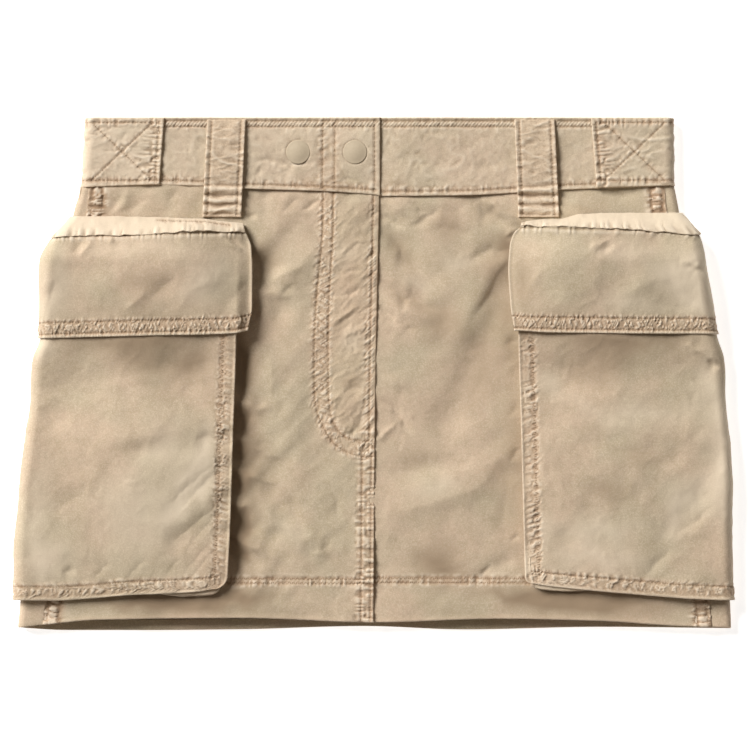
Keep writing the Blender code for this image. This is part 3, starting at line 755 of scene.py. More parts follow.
def bell(distance, width, power=2):
    """Fall from 1 to nearly 0 over a width to either side."""
    return np.exp(-(np.abs(distance / width) ** power))


def read(source, name, at):
    """Read one column of a table between its rows, smoothly and without overshoot."""
    stations = source["at"]
    values = source[name]
    secants = np.diff(values) / np.diff(stations)
    product = secants[1:] * secants[:-1]
    total = np.where(product > 0, secants[1:] + secants[:-1], 1.0)
    inner = np.where(product > 0, 2.0 * product / total, 0.0)
    slopes = np.concatenate((secants[:1], inner, secants[-1:]))
    at = np.clip(at, stations[0], stations[-1])
    row = np.clip(np.searchsorted(stations, at, side="right") - 1, 0, len(stations) - 2)
    span = stations[row + 1] - stations[row]
    part = (at - stations[row]) / span
    start = values[row] + slopes[row] * span * part * (1.0 - part) ** 2
    bend = -slopes[row + 1] * span * part * part * (1.0 - part)
    return start + bend + (values[row + 1] - values[row]) * ease(part)


def read_side(source, x, y):
    """Read a table with a left and a right column by the sign of x."""
    return np.where(x < 0, read(source, "left", y), read(source, "right", y))


def fit_rows(level, low, high, low_level, high_level, reach):
    """Move the end rows onto a piece's own edges and leave the rows between at their level."""
    down = (low - low_level) * ease(1.0 - (level - low_level) / reach)
    up = (high - high_level) * ease(1.0 - (high_level - level) / reach)
    return level + down + up


def share_ends(shares):
    """Part at which the face ends, and part at which the bend round the side ends."""
    return shares[0] / sum(shares), (shares[0] + shares[1]) / sum(shares)


def around_side(part, shares, inner, side, bend, depth):
    """Follow a cloth out over the face, round one side and in again underneath.

    Returns the distance from the centre line, and 1 on the face down to 0 underneath.
    """
    face_end, bend_end = share_ends(shares)
    on_face = np.clip(part / face_end, 0.0, 1.0)
    on_bend = np.clip((part - face_end) / (bend_end - face_end), 0.0, 1.0)
    beneath = np.clip((part - bend_end) / (1.0 - bend_end), 0.0, 1.0)
    reach = blend(inner, side - bend, on_face)
    reach = reach + bend * np.sin(np.pi * on_bend) - (depth - bend) * beneath
    return reach, (1.0 + np.cos(np.pi * on_bend)) / 2.0


def lift_of_back(x, y):
    """Height of the back over the floor, where tabs, flaps and pockets wrap in under it."""
    over_bag = during(y, *BAG_BEGINS)
    over_flap = during(y, *FLAP_BEGINS) - during(y, *FLAP_ENDS)
    inward = read_side(SKIRT_SIDE, x, y) - np.abs(x)
    return LAYER * (over_bag + over_flap) * (1.0 - during(inward, *WRAP_ENDS))


def lift_of_bag(y):
    """Height of a pocket's underside over the floor, where it lies on the flap's."""
    return LAYER * during(y, *FLAP_BEGINS)


def folds(lines, x, y):
    """Height of soft ridges and hollows along some lines."""
    height = np.zeros(np.broadcast(x, y).shape)
    for x0, y0, x1, y1, width, rise in lines:
        length = (x1 - x0) ** 2 + (y1 - y0) ** 2
        along = np.clip(((x - x0) * (x1 - x0) + (y - y0) * (y1 - y0)) / length, 0.0, 1.0)
        off_x = x - x0 - along * (x1 - x0)
        off_y = y - y0 - along * (y1 - y0)
        height = height + rise * np.exp(-(off_x**2 + off_y**2) / width**2)
    return height


def front_top(x, y):
    """Outer height of the front before the closure is lapped."""
    side = read_side(SKIRT_SIDE, x, y)
    inward = side - np.abs(x)
    at_side = lift_of_back(np.copysign(side, x), y) + SKIRT_THICK
    middle = read(MIDDLE_TOP, "z", y) + folds(FRONT_FOLDS, x, y) * during(inward, *FOLDS_BEGIN)
    return blend(at_side, middle, during(inward, *FACE_RISES))


def fly_rise(past_edge):
    """Rise of the left half towards its free edge, by the distance past that edge."""
    return FLY_RISE * during(past_edge, *FLY_RISES)


def lapped(hand, x, y, top, step):
    """Height of a half of the front once the left half lies on the right half."""
    past_edge = x - read(FLY_EDGE, "x", y)
    if hand == "left":
        return top + fly_rise(past_edge)
    beside = (FLY_RISE - step) * (1.0 - during(past_edge, *FLY_FALLS))
    return top + np.where(past_edge < 0, fly_rise(past_edge) - step, beside)


def lapped_front(hand, x, y):
    """Outer height of a finished half of the front."""
    return lapped(hand, x, y, front_top(x, y), LAYER)


def skirt_front(hand):
    """Surface of one front half, from its side seam to the centre front."""

    def surface(part, level):
        fly = read(FLY_EDGE, "x", level)
        seam = read(SIDE_SEAM, hand, level) - GAP / 2
        if hand == "left":
            x = blend(-seam, fly, part)
        else:
            x = blend(fly - FRONT_UNDERLAP, seam, part)
        top_edge = read(BAND_EDGE, "y", x) - GAP
        y = fit_rows(level, read(FRONT_HEM, "y", x), top_edge, *FRONT_ROWS)
        return x, y, lapped_front(hand, x, y)

    return surface


BACK_SHARES = (2, 5, 10)


def skirt_back(part, level):
    """Surface of the back, from the right side seam round underneath to the left one."""
    side_part = 1.0 - np.abs(2.0 * part - 1.0)
    sign = np.where(part <= 0.5, 1.0, -1.0)
    side = read_side(SKIRT_SIDE, sign, level)
    seam = read_side(SIDE_SEAM, sign, level) + GAP / 2
    reach, upper = around_side(side_part, BACK_SHARES, seam, side, SKIRT_BEND, side)
    x = sign * reach
    hem = blend(read(BACK_HEM, "y", x), read(FRONT_HEM, "y", x), upper)
    top_edge = blend(BAND_EDGE_BACK, read(BAND_EDGE, "y", x), upper) - GAP
    y = fit_rows(level, hem, top_edge, *BACK_ROWS)
    lift = lift_of_back(x, y)
    return x, y, blend(lift, lift_of_back(sign * side, y) + SKIRT_THICK, upper)


def band_top(x, y):
    """Outer height of the waistband's front."""
    inward = read_side(SKIRT_SIDE, x, y) - np.abs(x)
    return blend(BAND_SIDE_TOP, BAND_MIDDLE_TOP, during(inward, *FACE_RISES))


BAND_SEAM = {"left": -166.0, "right": 170.0}


def waistband_front(hand):
    """Surface of one half of the waistband's front."""

    def surface(part, upwards):
        if hand == "left":
            x = blend(BAND_SEAM["left"] + GAP / 2, read(FLY_EDGE, "x", BAND_MIDDLE_Y), part)
        else:
            x = blend(BAND_UNDERLAP, BAND_SEAM["right"] - GAP / 2, part)
        y = blend(read(BAND_EDGE, "y", x), WAIST_Y, upwards)
        return x, y, lapped(hand, x, y, band_top(x, y), BAND_WALL + GAP)

    return surface


BAND_SHARES = (2, 5, 9)


def waistband_back(part, upwards):
    """Surface of the waistband's back, from one front seam round underneath to the other."""
    side_part = 1.0 - np.abs(2.0 * part - 1.0)
    sign = np.where(part <= 0.5, 1.0, -1.0)
    level = blend(BACK_ROWS[1], WAIST_Y, upwards)
    side = read_side(SKIRT_SIDE, sign, level) - LAYER
    seam = np.where(part <= 0.5, BAND_SEAM["right"], -BAND_SEAM["left"]) + GAP / 2
    reach, upper = around_side(side_part, BAND_SHARES, seam, side, SKIRT_BEND, side)
    x = sign * reach
    edge = blend(BAND_EDGE_BACK, read(BAND_EDGE, "y", x), upper)
    y = blend(edge, WAIST_Y, upwards)
    return x, y, blend(lift_of_back(x, y), BAND_SIDE_TOP, upper)


TAB_SHARES = (5, 6, 4)


def side_tab(hand):
    """Surface of a side tab, laid on the waistband and round its side."""

    def surface(part, upwards):
        level = blend(TAB_LOW_Y, WAIST_Y - TAB_INSET, upwards)
        inner = read(TAB_INNER, hand, level)
        side = read(SKIRT_SIDE, hand, level)
        reach, upper = around_side(part, TAB_SHARES, inner, side, TAB_BEND, TAB_WRAP)
        x = SIGN[hand] * reach
        low = blend(BAND_EDGE_BACK, read(BAND_EDGE, "y", x), upper)
        y = blend(low + GAP, WAIST_Y - TAB_INSET, upwards)
        return x, y, upper * (band_top(x, y) + CLOTH_WALL + GAP)

    return surface


def belt_loop(hand):
    """Surface of a front belt loop, from the waist down over the waistband's lower edge."""

    def surface(part, upwards):
        y = blend(*LOOP_SPAN, upwards)
        start = read(LOOP_EDGES, f"{hand}_start", y)
        x = blend(start, read(LOOP_EDGES, f"{hand}_end", y), part)
        on_band = during(y - read(BAND_EDGE, "y", x), *LOOP_CLIMBS)
        under = blend(front_top(x, y), band_top(x, y), on_band)
        return x, y, under + LAYER + read(LOOP_RISE, "z", y)

    return surface


def bag_inner(hand, y):
    """Inner edge of a pocket, rounded off at its lower corner."""
    radius = BAG_CORNER[hand]
    drop = np.clip(read(BAG_BOTTOM, hand, BAG_REACH[0]) + radius - y, 0.0, radius)
    rounding = radius - np.sqrt(radius**2 - drop**2)
    return read(BAG_INNER, hand, y) + rounding


def dip(hand, reach, y):
    """Depth of the dip in a pocket's face below its flap."""
    deepest = read(DIP_AT, hand, reach)
    down = during(y, DIP_START, deepest)
    up = ease((deepest - y) / DIP_END)
    from_edge = during(reach - read(BAG_INNER, hand, y), *DIP_FROM_EDGE)
    return DIP_DEPTH * down * (1.0 - up) * (DIP_SHARES[0] + DIP_SHARES[1] * from_edge)


def edge_dip(hand, reach, y):
    """Depth of the places where a pocket's inner edge sinks."""
    depth = sum(most * bell(y - at, length) for at, most, length in EDGE_DIPS[hand])
    return depth * (1.0 - during(reach - read(BAG_INNER, hand, y), *EDGE_DIP_ENDS))


def bag_top(hand, reach, y):
    """Outer height of a pocket's face."""
    inner = read(BAG_INNER, hand, y)
    outer = read(BAG_SIDE, hand, y) - BAG_BEND
    across = np.clip((reach - inner) / (outer - inner), 0.0, 1.0)
    height = blend(read(BAG_TOP, "inner", y), read(BAG_TOP, "outer", y), ease(across))
    fullness = BAG_BELLY * during(y, *BELLY_RISES) * np.sin(np.pi * across) ** 2
    corner = CORNER_DROP * during(reach, *CORNER_ACROSS) * during(y, *CORNER_UP)
    sunk = dip(hand, reach, y) + edge_dip(hand, reach, y) + corner
    return height + fullness + folds(BAG_FOLDS[hand], reach, y) - sunk


BAG_SHARES = (12, 8, 4)


def over_face(reach, part):
    """Roughly how far out a part of a cloth lies that goes on round the side."""
    return blend(*reach, np.clip(part * 2.0, 0.0, 1.0))


def pocket(hand):
    """Surface of a pocket bag: its face, and the part that wraps round the side."""

    def surface(part, level):
        low = read(BAG_BOTTOM, hand, over_face(BAG_REACH, part))
        y = fit_rows(level, low, BAG_TOP_Y, *BAG_ROWS)
        side = read(BAG_SIDE, hand, y)
        inner = bag_inner(hand, y)
        reach, upper = around_side(part, BAG_SHARES, inner, side, BAG_BEND, BAG_WRAP)
        height = blend(lift_of_bag(y), bag_top(hand, reach, y), upper)
        return SIGN[hand] * reach, y, height

    return surface


def gusset(hand):
    """Surface of the wall that joins a pocket's inner and lower edges to the skirt."""
    bend = np.pi / 2 * GUSSET_CORNER
    bottom = read(BAG_BOTTOM, hand, GUSSET_CORNER_AT[0])
    edge = read(BAG_INNER, hand, GUSSET_CORNER_AT[1])
    corner_reach = edge + GUSSET_SETBACK
    down = GUSSET_TOP_Y - (bottom + GUSSET_SETBACK) - GUSSET_CORNER
    length = down + bend + GUSSET_END - corner_reach - GUSSET_CORNER

    def surface(along, upwards):
        run = along * length
        turn = np.clip((run - down) / bend, 0.0, 1.0) * np.pi / 2
        past = np.clip(run - down - bend, 0.0, None)
        level = GUSSET_TOP_Y - np.clip(run, 0.0, down) - GUSSET_CORNER * np.sin(turn)
        slant = read(BAG_INNER, hand, level) - edge
        reach = corner_reach + slant + GUSSET_CORNER * (1.0 - np.cos(turn)) + past
        flange = during(upwards, FLANGE_START, 1.0)
        lip = GUSSET_LIP * ease(turn) * during(reach, *LIP_ENDS) * (1.0 - flange)
        y = level + read(BAG_BOTTOM, hand, reach) - bottom - lip
        y = np.where(run < down, level, y)
        bow = GUSSET_BOW + GUSSET_WAVE * np.sin(run / GUSSET_WAVE_RUN)
        bow = bow * (1.0 - GUSSET_BOW_FADE * along) * np.sin(np.pi * upwards) ** 2
        reach = reach + bow * np.cos(turn)
        y = y + bow * np.sin(turn)
        x = SIGN[hand] * reach
        low = lapped_front(hand, x, y) + 3.5 * GAP
        high = bag_top(hand, reach, y) - CLOTH_WALL - 1.8 * GAP
        return x, y, blend(low, high, np.minimum(upwards / FLANGE_START, 1.0))

    return surface


def flap_top(hand, reach, y):
    """Outer height of a flap's face, which bulges near its top and droops past the pocket."""
    inner = read(BAG_INNER, hand, y)
    past = inner - reach
    on_bag = bag_top(hand, np.maximum(reach, inner), y)
    bulge = FLAP_BULGE * during(y, *BULGE_UP) * during(y, *BULGE_DOWN)
    bulge = bulge * during(reach, *BULGE_ACROSS)
    ear = EAR_DROP * during(past, *EAR_ACROSS) * during(y, *EAR_UP)
    droop = blend(*FLAP_DROOP[hand], during(y, *DROOP_DOWN)) * during(past, *DROOP_ACROSS)
    return on_bag + FLAP_OVER_BAG + bulge - droop - ear


FLAP_SHARES = (12, 8, 4)


def flap(hand):
    """Surface of a pocket flap, from its lower edge up to its top seam."""

    def surface(part, level):
        guess = over_face(FLAP_REACH, part)
        low = read(FLAP_EDGES[hand], "low", guess)
        seam = read(FLAP_EDGES[hand], "seam", guess)
        y = fit_rows(level, low, seam, *FLAP_ROWS)
        side = read(FLAP_SIDE, hand, y)
        inner = read(FLAP_INNER, hand, y)
        reach, upper = around_side(part, FLAP_SHARES, inner, side, FLAP_BEND, FLAP_WRAP)
        return SIGN[hand] * reach, y, flap_top(hand, reach, y) * upper

    return surface


def flap_wall(hand):
    """Surface of the wall between a flap's top seam and the skirt behind it."""

    def surface(part, rearwards):
        front_x, seam_y, front_z = flap(hand)(part, np.full_like(part, FLAP_ROWS[1]))
        guess = np.abs(front_x)
        rear_y = read(FLAP_EDGES[hand], "rear", guess)
        side = read(SKIRT_SIDE, hand, rear_y) + LAYER
        inner = read(FLAP_INNER, hand, rear_y)
        reach, upper = around_side(part, FLAP_SHARES, inner, side, TAB_BEND, FLAP_WRAP)
        rear_x = SIGN[hand] * reach
        rear_z = (lapped_front(hand, rear_x, rear_y) + LAYER) * upper
        x = blend(front_x, rear_x, rearwards)
        y = blend(seam_y + SEAM_TO_WALL, rear_y, rearwards)
        return x, y, blend(front_z, rear_z, rearwards)

    return surface


# ---------------------------------------------------------------- fields of height over the cloth


def soften(value):
    """Rise from 0 to 1 while the value does, with no kink where lumps meet."""
    part = np.clip(value, 0.0, 1.0)
    return part**3 * (part * (6.0 * part - 15.0) + 10.0)


def noise(u, v, size, seed):
    """Smooth heights of -1 to 1, one random height for each step of a size along u and v."""
    lattice = np.random.default_rng(seed).uniform(-1.0, 1.0, (LATTICE, LATTICE))
    across = u / size[0]
    along = v / size[1]
    column = np.floor(across).astype(int)
    row = np.floor(along).astype(int)
    right = soften(across - column)

    def line(step):
        start = lattice[(row + step) % LATTICE, column % LATTICE]
        return blend(start, lattice[(row + step) % LATTICE, (column + 1) % LATTICE], right)

    return blend(line(0), line(1), soften(along - row))


def lumps(u, v, size, seed):
    """Irregular lumps of -1 to 1 that run in no direction of their own."""
    wide = noise(0.8 * u + 0.6 * v, 0.8 * v - 0.6 * u, (size, size), seed)
    half = 0.47 * size
    fine = noise(0.3 * u - 0.95 * v, 0.95 * u + 0.3 * v, (half, half), seed + 1)
    return 0.7 * wide + 0.3 * fine


def rounded(points, passes=2):
    """Cut the corners off a line of points, so that it bends smoothly."""
    line = np.array(points, float)
    for _ in range(passes):
        near = 0.75 * line[:-1] + 0.25 * line[1:]
        far = 0.25 * line[:-1] + 0.75 * line[1:]
        inner = np.stack((near, far), axis=1).reshape(-1, 2)
        line = np.concatenate((line[:1], inner, line[-1:]))
    return line


def from_line(line, u, v):
    """Distance to a line, positive on its left, and how far along it the nearest point is."""
    nearest = np.full(u.shape, np.inf)
    side = np.ones(u.shape)
    run = np.zeros(u.shape)
    start = 0.0
    for (u0, v0), (u1, v1) in zip(line[:-1], line[1:]):
        length = np.hypot(u1 - u0, v1 - v0)
        along_u = (u1 - u0) / length
        along_v = (v1 - v0) / length
        past = np.clip((u - u0) * along_u + (v - v0) * along_v, 0.0, length)
        off_u = u - u0 - past * along_u
        off_v = v - v0 - past * along_v
        distance = np.hypot(off_u, off_v)
        closer = distance < nearest
        nearest = np.where(closer, distance, nearest)
        side = np.where(closer, along_u * off_v - along_v * off_u, side)
        run = np.where(closer, start + past, run)
        start += length
    return nearest * np.where(side < 0, -1.0, 1.0), run, start


def crumple(u, v, size, seed):
    """Low sharp ridges with hollows between them, in every direction, from about -1 to 1."""
    bend = 0.4 * size
    u, v = (
        u + bend * noise(u, v, (size, size), seed),
        v + bend * noise(v, u, (size, size), seed + 1),
    )
    return 0.7 - 2.4 * np.abs(lumps(u, v, size, seed + 2))


def streaks(u, v, angle, width, length, seed):
    """Long soft folds of -1 to 1 that run at an angle and bend a little."""
    turn = np.radians(angle)
    along = u * np.cos(turn) + v * np.sin(turn)
    across = v * np.cos(turn) - u * np.sin(turn)
    across = across + 0.8 * width * noise(u, v, (length, length), seed)
    return noise(along, across, (length, width), seed + 1)


def creased(u, v, lines):
    """Height of creases, each given by width, height, lean to one side, and its points."""
    height = np.zeros(u.shape)
    for width, rise, lean, *ends in lines:
        line = rounded(list(zip(ends[::2], ends[1::2])))
        off, run, length = from_line(line, u, v)
        wander = (CREASE_WANDER * width, CREASE_WANDER * width)
        off = off + CREASE_BEND * width * noise(run + u, v, wander, CREASE_SEED)
        taper = np.clip(np.sin(np.pi * run / length), 0.0, 1.0) ** 1.2
        reach = width * np.where(off > 0, 1.0 + lean, 1.0 - lean) * (0.4 + 0.6 * taper)
        height += rise * taper * bell(off, reach, 1.5)
    return height


# ---------------------------------------------------------------- cloth as grids of points


def stations(*spans):
    """Stations from 0 to 1 over spans that each have a length and a step."""
    made = np.zeros(1)
    for length, step in spans:
        count = max(1, round(length / step))
        made = np.append(made, made[-1] + length * np.arange(1, count + 1) / count)
    return made / made[-1]


def heights(start, *spans):
    """Heights from a start over spans that each have a length and a step."""
    total = sum(length for length, _ in spans)
    return start + total * stations(*spans)


def wrapping(shares, face, bend_count, under_count):
    """Stations across a cloth that goes round a side, with spans of their own on its face."""
    face_end, bend_end = share_ends(shares)
    on_face = face_end * stations(*face)
    on_bend = np.linspace(face_end, bend_end, bend_count + 1)[1:]
    beneath = np.linspace(bend_end, 1.0, under_count + 1)[1:]
    return np.concatenate((on_face, on_bend, beneath))


def ordered(hand, across):
    """Run the stations backwards on the left, whose mirrored surface then faces out too."""
    return across if hand == "right" else across[::-1]


def outward(place):
    """Unit normals of a grid of points."""
    normal = np.cross(np.gradient(place, axis=1), np.gradient(place, axis=0))
    return normal / np.linalg.norm(normal, axis=-1, keepdims=True)


def smoothed(values, cells):
    """Mean of a grid's values over the cells around each one."""
    for axis in (0, 1):
        padding = [(0, 0), (0, 0)]
        padding[axis] = (cells + 1, cells)
        total = np.cumsum(np.pad(values, padding, mode="edge"), axis=axis)
        high = np.take(total, range(2 * cells + 1, total.shape[axis]), axis)
        low = np.take(total, range(total.shape[axis] - 2 * cells - 1), axis)
        values = (high - low) / (2 * cells + 1)
    return values


def moved(row, step):
    """Move a row of a grid, with the plain cloth's place."""
    row = row.copy()
    row[:, PLACE] += step
    row[:, PLAIN] += step
    return row


def turned_under(channels, radius, tuck):
    """Roll the first and last row of a grid's channels under and tuck their edge in."""
    ends = []
    for edge, inner in ((channels[0], channels[1]), (channels[-1], channels[-2])):
        out = edge[:, PLAIN] - inner[:, PLAIN]
        out /= np.linalg.norm(out, axis=-1, keepdims=True)
        rows = []
        for angle in np.radians(ROLL_ANGLES):
            step = radius * np.sin(angle) * out - radius * (1.0 - np.cos(angle)) * edge[:, NORMAL]
            rows.append(moved(edge, step))
        rows.append(moved(rows[-1], -tuck * out))
        ends.append(rows)
    return np.stack([*ends[0][::-1], *channels, *ends[1]])


def run_along(line):
    """Distance along a line at each of its points."""
    return np.concatenate(([0.0], np.cumsum(np.hypot(*np.diff(line, axis=0).T))))


def grid_faces(rows, columns):
    """Corner numbers of the faces of a grid."""
    number = np.arange(rows * columns).reshape(rows, columns)
    corners = (number[:-1, :-1], number[:-1, 1:], number[1:, 1:], number[1:, :-1])
    return np.stack(corners, axis=-1).reshape(-1, 4)


def grid_area(place):
    """Area of a grid's faces."""
    across = np.diff(place, axis=1)[:-1]
    along = np.diff(place, axis=0)[:, :-1]
    return np.linalg.norm(np.cross(across, along), axis=-1).sum()


def longest(place, axis):
    """Length of a grid's longest row or column."""
    return np.linalg.norm(np.diff(place, axis=axis), axis=-1).sum(axis=axis).max()


class Sheet:
    """A cloth's outer face, with the height and the tint of its details and the rows sewn on it."""

    def __init__(self, node, surface, across, along):
        part, level = np.meshgrid(across, along)
        self.node = node
        self.place = np.stack(np.broadcast_arrays(*surface(part, level)), axis=-1).astype(float)
        self.u = self.place[..., 0].copy()
        self.v = self.place[..., 1].copy()
        self.rise = np.zeros(part.shape)
        self.pucker = np.zeros(part.shape)
        self.seam = np.zeros(part.shape)
        # Painted shade and highlight in the colour, with some deeper and paler dye.
        self.shade_and_fade = np.zeros(part.shape)
        self.rows = []

    def unroll(self, hand, inner):
        """Measure u along the cloth from its inner edge, out over the face and round the side."""
        steps = np.linalg.norm(np.diff(self.place, axis=1), axis=-1)
        run = np.concatenate((np.zeros((len(steps), 1)), np.cumsum(steps, axis=1)), axis=1)
        if hand == "left":
            run = run[:, -1:] - run
        self.u = run + inner(self.v)

    def wrinkle(self, *layers):
        """Add irregular lumps of a size and a height."""
        for size, rise, seed in layers:
            self.rise += rise * lumps(self.u, self.v, size, seed)

    def crumple(self, *layers):
        """Add sharp low ridges of a size and a height."""
        for size, rise, seed in layers:
            self.rise += rise * crumple(self.u, self.v, size, seed)

    def streak(self, *layers):
        """Add soft folds of an angle, a width, a length and a height."""
        for angle, width, length, rise, seed in layers:
            self.rise += rise * streaks(self.u, self.v, angle, width, length, seed)

    def crease(self, lines):
        """Add listed creases."""
        self.rise += CREASE_GAIN * creased(self.u, self.v, lines)

    def shade(self, lines):
        """Paint shade and highlight, with some deeper or paler dye, into the colour along listed
        lines.
        """
        self.shade_and_fade += SHADE_GAIN * creased(self.u, self.v, lines)

    def tinge(self, amount):
        """Brown the cloth as a seam is, where it isn't browner already."""
        self.seam = np.maximum(self.seam, amount)

    def rumple(self, *layers):
        """Crinkle cloth that is sewn down, by a size, a height and a stretch across."""
        for size, rise, stretch, seed in layers:
            self.pucker += rise * crumple(self.u / stretch, self.v, size, seed)

    def dish(self, x, y):
        """Raise the cloth round a snap and sink it under the cap."""
        away = np.hypot(self.u - x, self.v - y)
        past_rim = np.maximum(away - DISH_RIM[1], 0.0)
        self.rise += DISH_RISE * during(away, *DISH_RIM) * bell(past_rim, DISH_FADE)

    def sew(
        self,
        line,
        seed,
        rise=0.3,
        size=1.9,
        reach=(4.0, 4.0),
        slant=0.0,
        sink=0.25,
        tint=0.6,
        rope=0.06,
        pitch=2.9,
        zigzag=0.0,
    ):
        """Sew a row that sinks in, with puckers on its left and right as far as it reaches."""
        off, run, _ = from_line(line, self.u, self.v)
        side_reach = np.where(off > 0, reach[0], reach[1])
        wave = noise(run + slant * off, off, (size, 3.0 * size), seed)
        pillow = 1.8 * soften(1.6 * np.abs(wave)) - 0.7
        uneven = 0.8 + 0.5 * noise(run, off, (6.0 * size, 9.0 * size), seed + 1)
        self.pucker += rise * bell(off, side_reach, 3) * pillow * uneven
        self.pucker -= sink * bell(off, ROW_WIDTH)
        if pitch:
            self.lay_holes(off, run, slant, rope, pitch, zigzag)
            self.rows.append((line, pitch, zigzag))
        patchy = 0.75 + 0.4 * noise(run, off, (2.5 * size, 3.0 * size), seed + 2)
        self.tinge(tint * patchy * bell(off, 0.8 * side_reach, 3))

    def lay_holes(self, off, run, slant, rope, pitch, zigzag):
        """Rib the cloth along a row and sink the needle's holes in it."""
        beat = np.cos(2.0 * np.pi * (run + slant * off) / pitch)
        from_holes = off
        if zigzag:
            beat = np.cos(np.pi * run / pitch) * np.where(off > 0, 1.0, -1.0)
            from_holes = np.abs(off) - zigzag / 2.0
        self.pucker += rope * beat * bell(off, ROPE_WIDTH)
        self.pucker -= HOLE_DEPTH * (0.5 + 0.5 * beat) ** 2 * bell(from_holes, HOLE_WIDTH)

    def sew_rows(self, lines, seed, step, **style):
        """Sew several rows alike, each one with puckers of its own."""
        for number, line in enumerate(lines):
            self.sew(line, seed + step * number, **style)

    def gather(self, line, seed, reach, rise=0.5, size=2.2, slant=0.7, tint=0.7):
        """Pucker a whole band into small pillows, with folds that cross each other between them."""
        off, run, _ = from_line(line, self.u, self.v)
        bent = run + 0.5 * noise(run, off, (5.0, 5.0), seed)
        crossing = [
            np.abs(noise(bent + way * slant * off, off, (size, 3.5 * size), seed + 1 + number))
            for number, way in enumerate((1.0, -1.0))
        ]
        fade = bell(off, reach, 4)
        self.pucker += rise * fade * (2.2 * soften(1.6 * np.minimum(*crossing)) - 0.7)
        patchy = 0.8 + 0.3 * noise(run, off, (3.0 * size, 3.0 * size), seed + 3)
        self.tinge(tint * patchy * fade)

    def pinch(self, away, along, size, width, seed):
        """Pinch the cloth into short folds that run up to a seam, by the distance from it."""
        folded = np.abs(noise(self.u, along, (size, PINCH_LENGTH), seed)) - 0.35
        self.pucker += PINCH_RISE * folded * bell(away, width)

    def edge(self, inward, rise, width, tint=0.0):
        """Raise the rim along an edge, by the distance in from it."""
        near = bell(inward, width)
        self.pucker += rise * near
        self.tinge(tint * near)

    def build(self, roll=0.6, tuck=6.0):
        """Make the piece and its stitches, and give back both with the piece's flat size and area.
        """
        plain = outward(self.place)
        place = self.place + plain * (self.rise + self.pucker)[..., None]
        # Ridges rubbed paler and painted shade in the hollows, by how far a pucker stands out or
        # sinks.
        proud = self.pucker - smoothed(self.pucker, WEAR_CELLS)
        wear_and_hollow_shade = np.clip(proud / WEAR_HEIGHT, -1.0, 1.0)
        # Painted shade and highlight, with some deeper and paler dye, kept for the material.
        shade_and_dye = np.clip(self.shade_and_fade, -1.0, 1.0)
        extra = np.stack((self.u, self.v, self.seam, wear_and_hollow_shade, shade_and_dye), axis=-1)
        channels = np.concatenate((place, self.place, plain, extra), axis=-1)
        channels = turned_under(channels.swapaxes(0, 1), roll, tuck).swapaxes(0, 1)
        channels = turned_under(channels, roll, tuck)
        channels[..., 2] = np.maximum(channels[..., 2], 0.0)
        corners = channels[..., PLACE].reshape(-1, 3)
        piece = mesh_object(f"cloth_{self.node}", corners, grid_faces(*channels.shape[:2]))
        spread(piece, "cloth_place", channels[..., MEASURES].reshape(-1, 2))
        for name, column in KEPT.items():
            spread(piece, name, channels[..., column].ravel())
        finish_piece(piece, CANVAS)
        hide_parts(self.node)
        threads = self.thread(place, outward(place))
        flat = channels[..., PLAIN] * MM
        size = (longest(flat, 1), longest(flat, 0))
        area = min(grid_area(flat), size[0] * size[1])
        return piece, threads, size, max(area, LEAST_AREA * size[0] * size[1])

    def thread(self, place, normal):
        """Lay a stitch of thread in each step of the sewn rows."""
        if not self.rows:
            return []
        starts, ends = self.stitch_ends()
        finder = kdtree.KDTree(self.u.size)
        for number, (u, v) in enumerate(zip(self.u.ravel(), self.v.ravel())):
            finder.insert((u, v, 0.0), number)
        finder.balance()
        measures = np.stack((self.u, self.v), axis=-1)
        place_slopes, slopes = (
            (np.gradient(field, axis=1), np.gradient(field, axis=0)) for field in (place, measures)
        )

        def locate(spots):
            found = np.array([finder.find((u, v, 0.0))[1] for u, v in spots])
            cell = np.unravel_index(found, self.u.shape)
            turn = np.stack((slopes[0][cell], slopes[1][cell]), axis=-1)
            step = np.linalg.solve(turn, (spots - measures[cell])[..., None])[..., 0]
            step = np.clip(step, -CELLS_ASIDE, CELLS_ASIDE)
            aside = place_slopes[0][cell] * step[:, :1]
            return place[cell] + aside + place_slopes[1][cell] * step[:, 1:], normal[cell]

        first, _ = locate(starts)
        middle, up = locate((starts + ends) / 2.0)
        last, _ = locate(ends)
        piece = stitches(f"thread_{self.node}", first, middle, last, up)
        finish_piece(piece, THREAD)
        return [piece]

    def stitch_ends(self):
        """Where each stitch starts and ends, in the cloth's own measures."""
        starts = []
        ends = []
        for line, pitch, zigzag in self.rows:
            run = run_along(line)
            count = int(run[-1] / pitch)
            at = (np.arange(count) + 0.1) * pitch
            slope = np.gradient(line, axis=0)
            aside = np.stack((-slope[:, 1], slope[:, 0]), axis=-1) / np.hypot(*slope.T)[:, None]
            swing = zigzag / 2.0 * np.where(np.arange(count) % 2, 1.0, -1.0)
            for way, shift, side in ((starts, 0.0, -swing), (ends, STITCH_SHARE * pitch, swing)):
                spot = [
                    np.interp(at + shift, run, line[:, n]) + side * np.interp(at, run, aside[:, n])
                    for n in (0, 1)
                ]
                way.append(np.stack(spot, axis=-1))
        starts = np.concatenate(starts)
        ends = np.concatenate(ends)
        inside = (starts[:, 1] > self.v.min()) & (starts[:, 1] < self.v.max())
        return starts[inside], ends[inside]


def mesh_object(name, corners, faces):
    """Make a smooth mesh of corners in millimetres."""
    mesh = bpy.data.meshes.new(name)
    mesh.from_pydata((corners * MM).tolist(), [], faces.tolist())
    mesh.shade_smooth()
    piece = bpy.data.objects.new(name, mesh)
    bpy.context.scene.collection.objects.link(piece)
    return piece


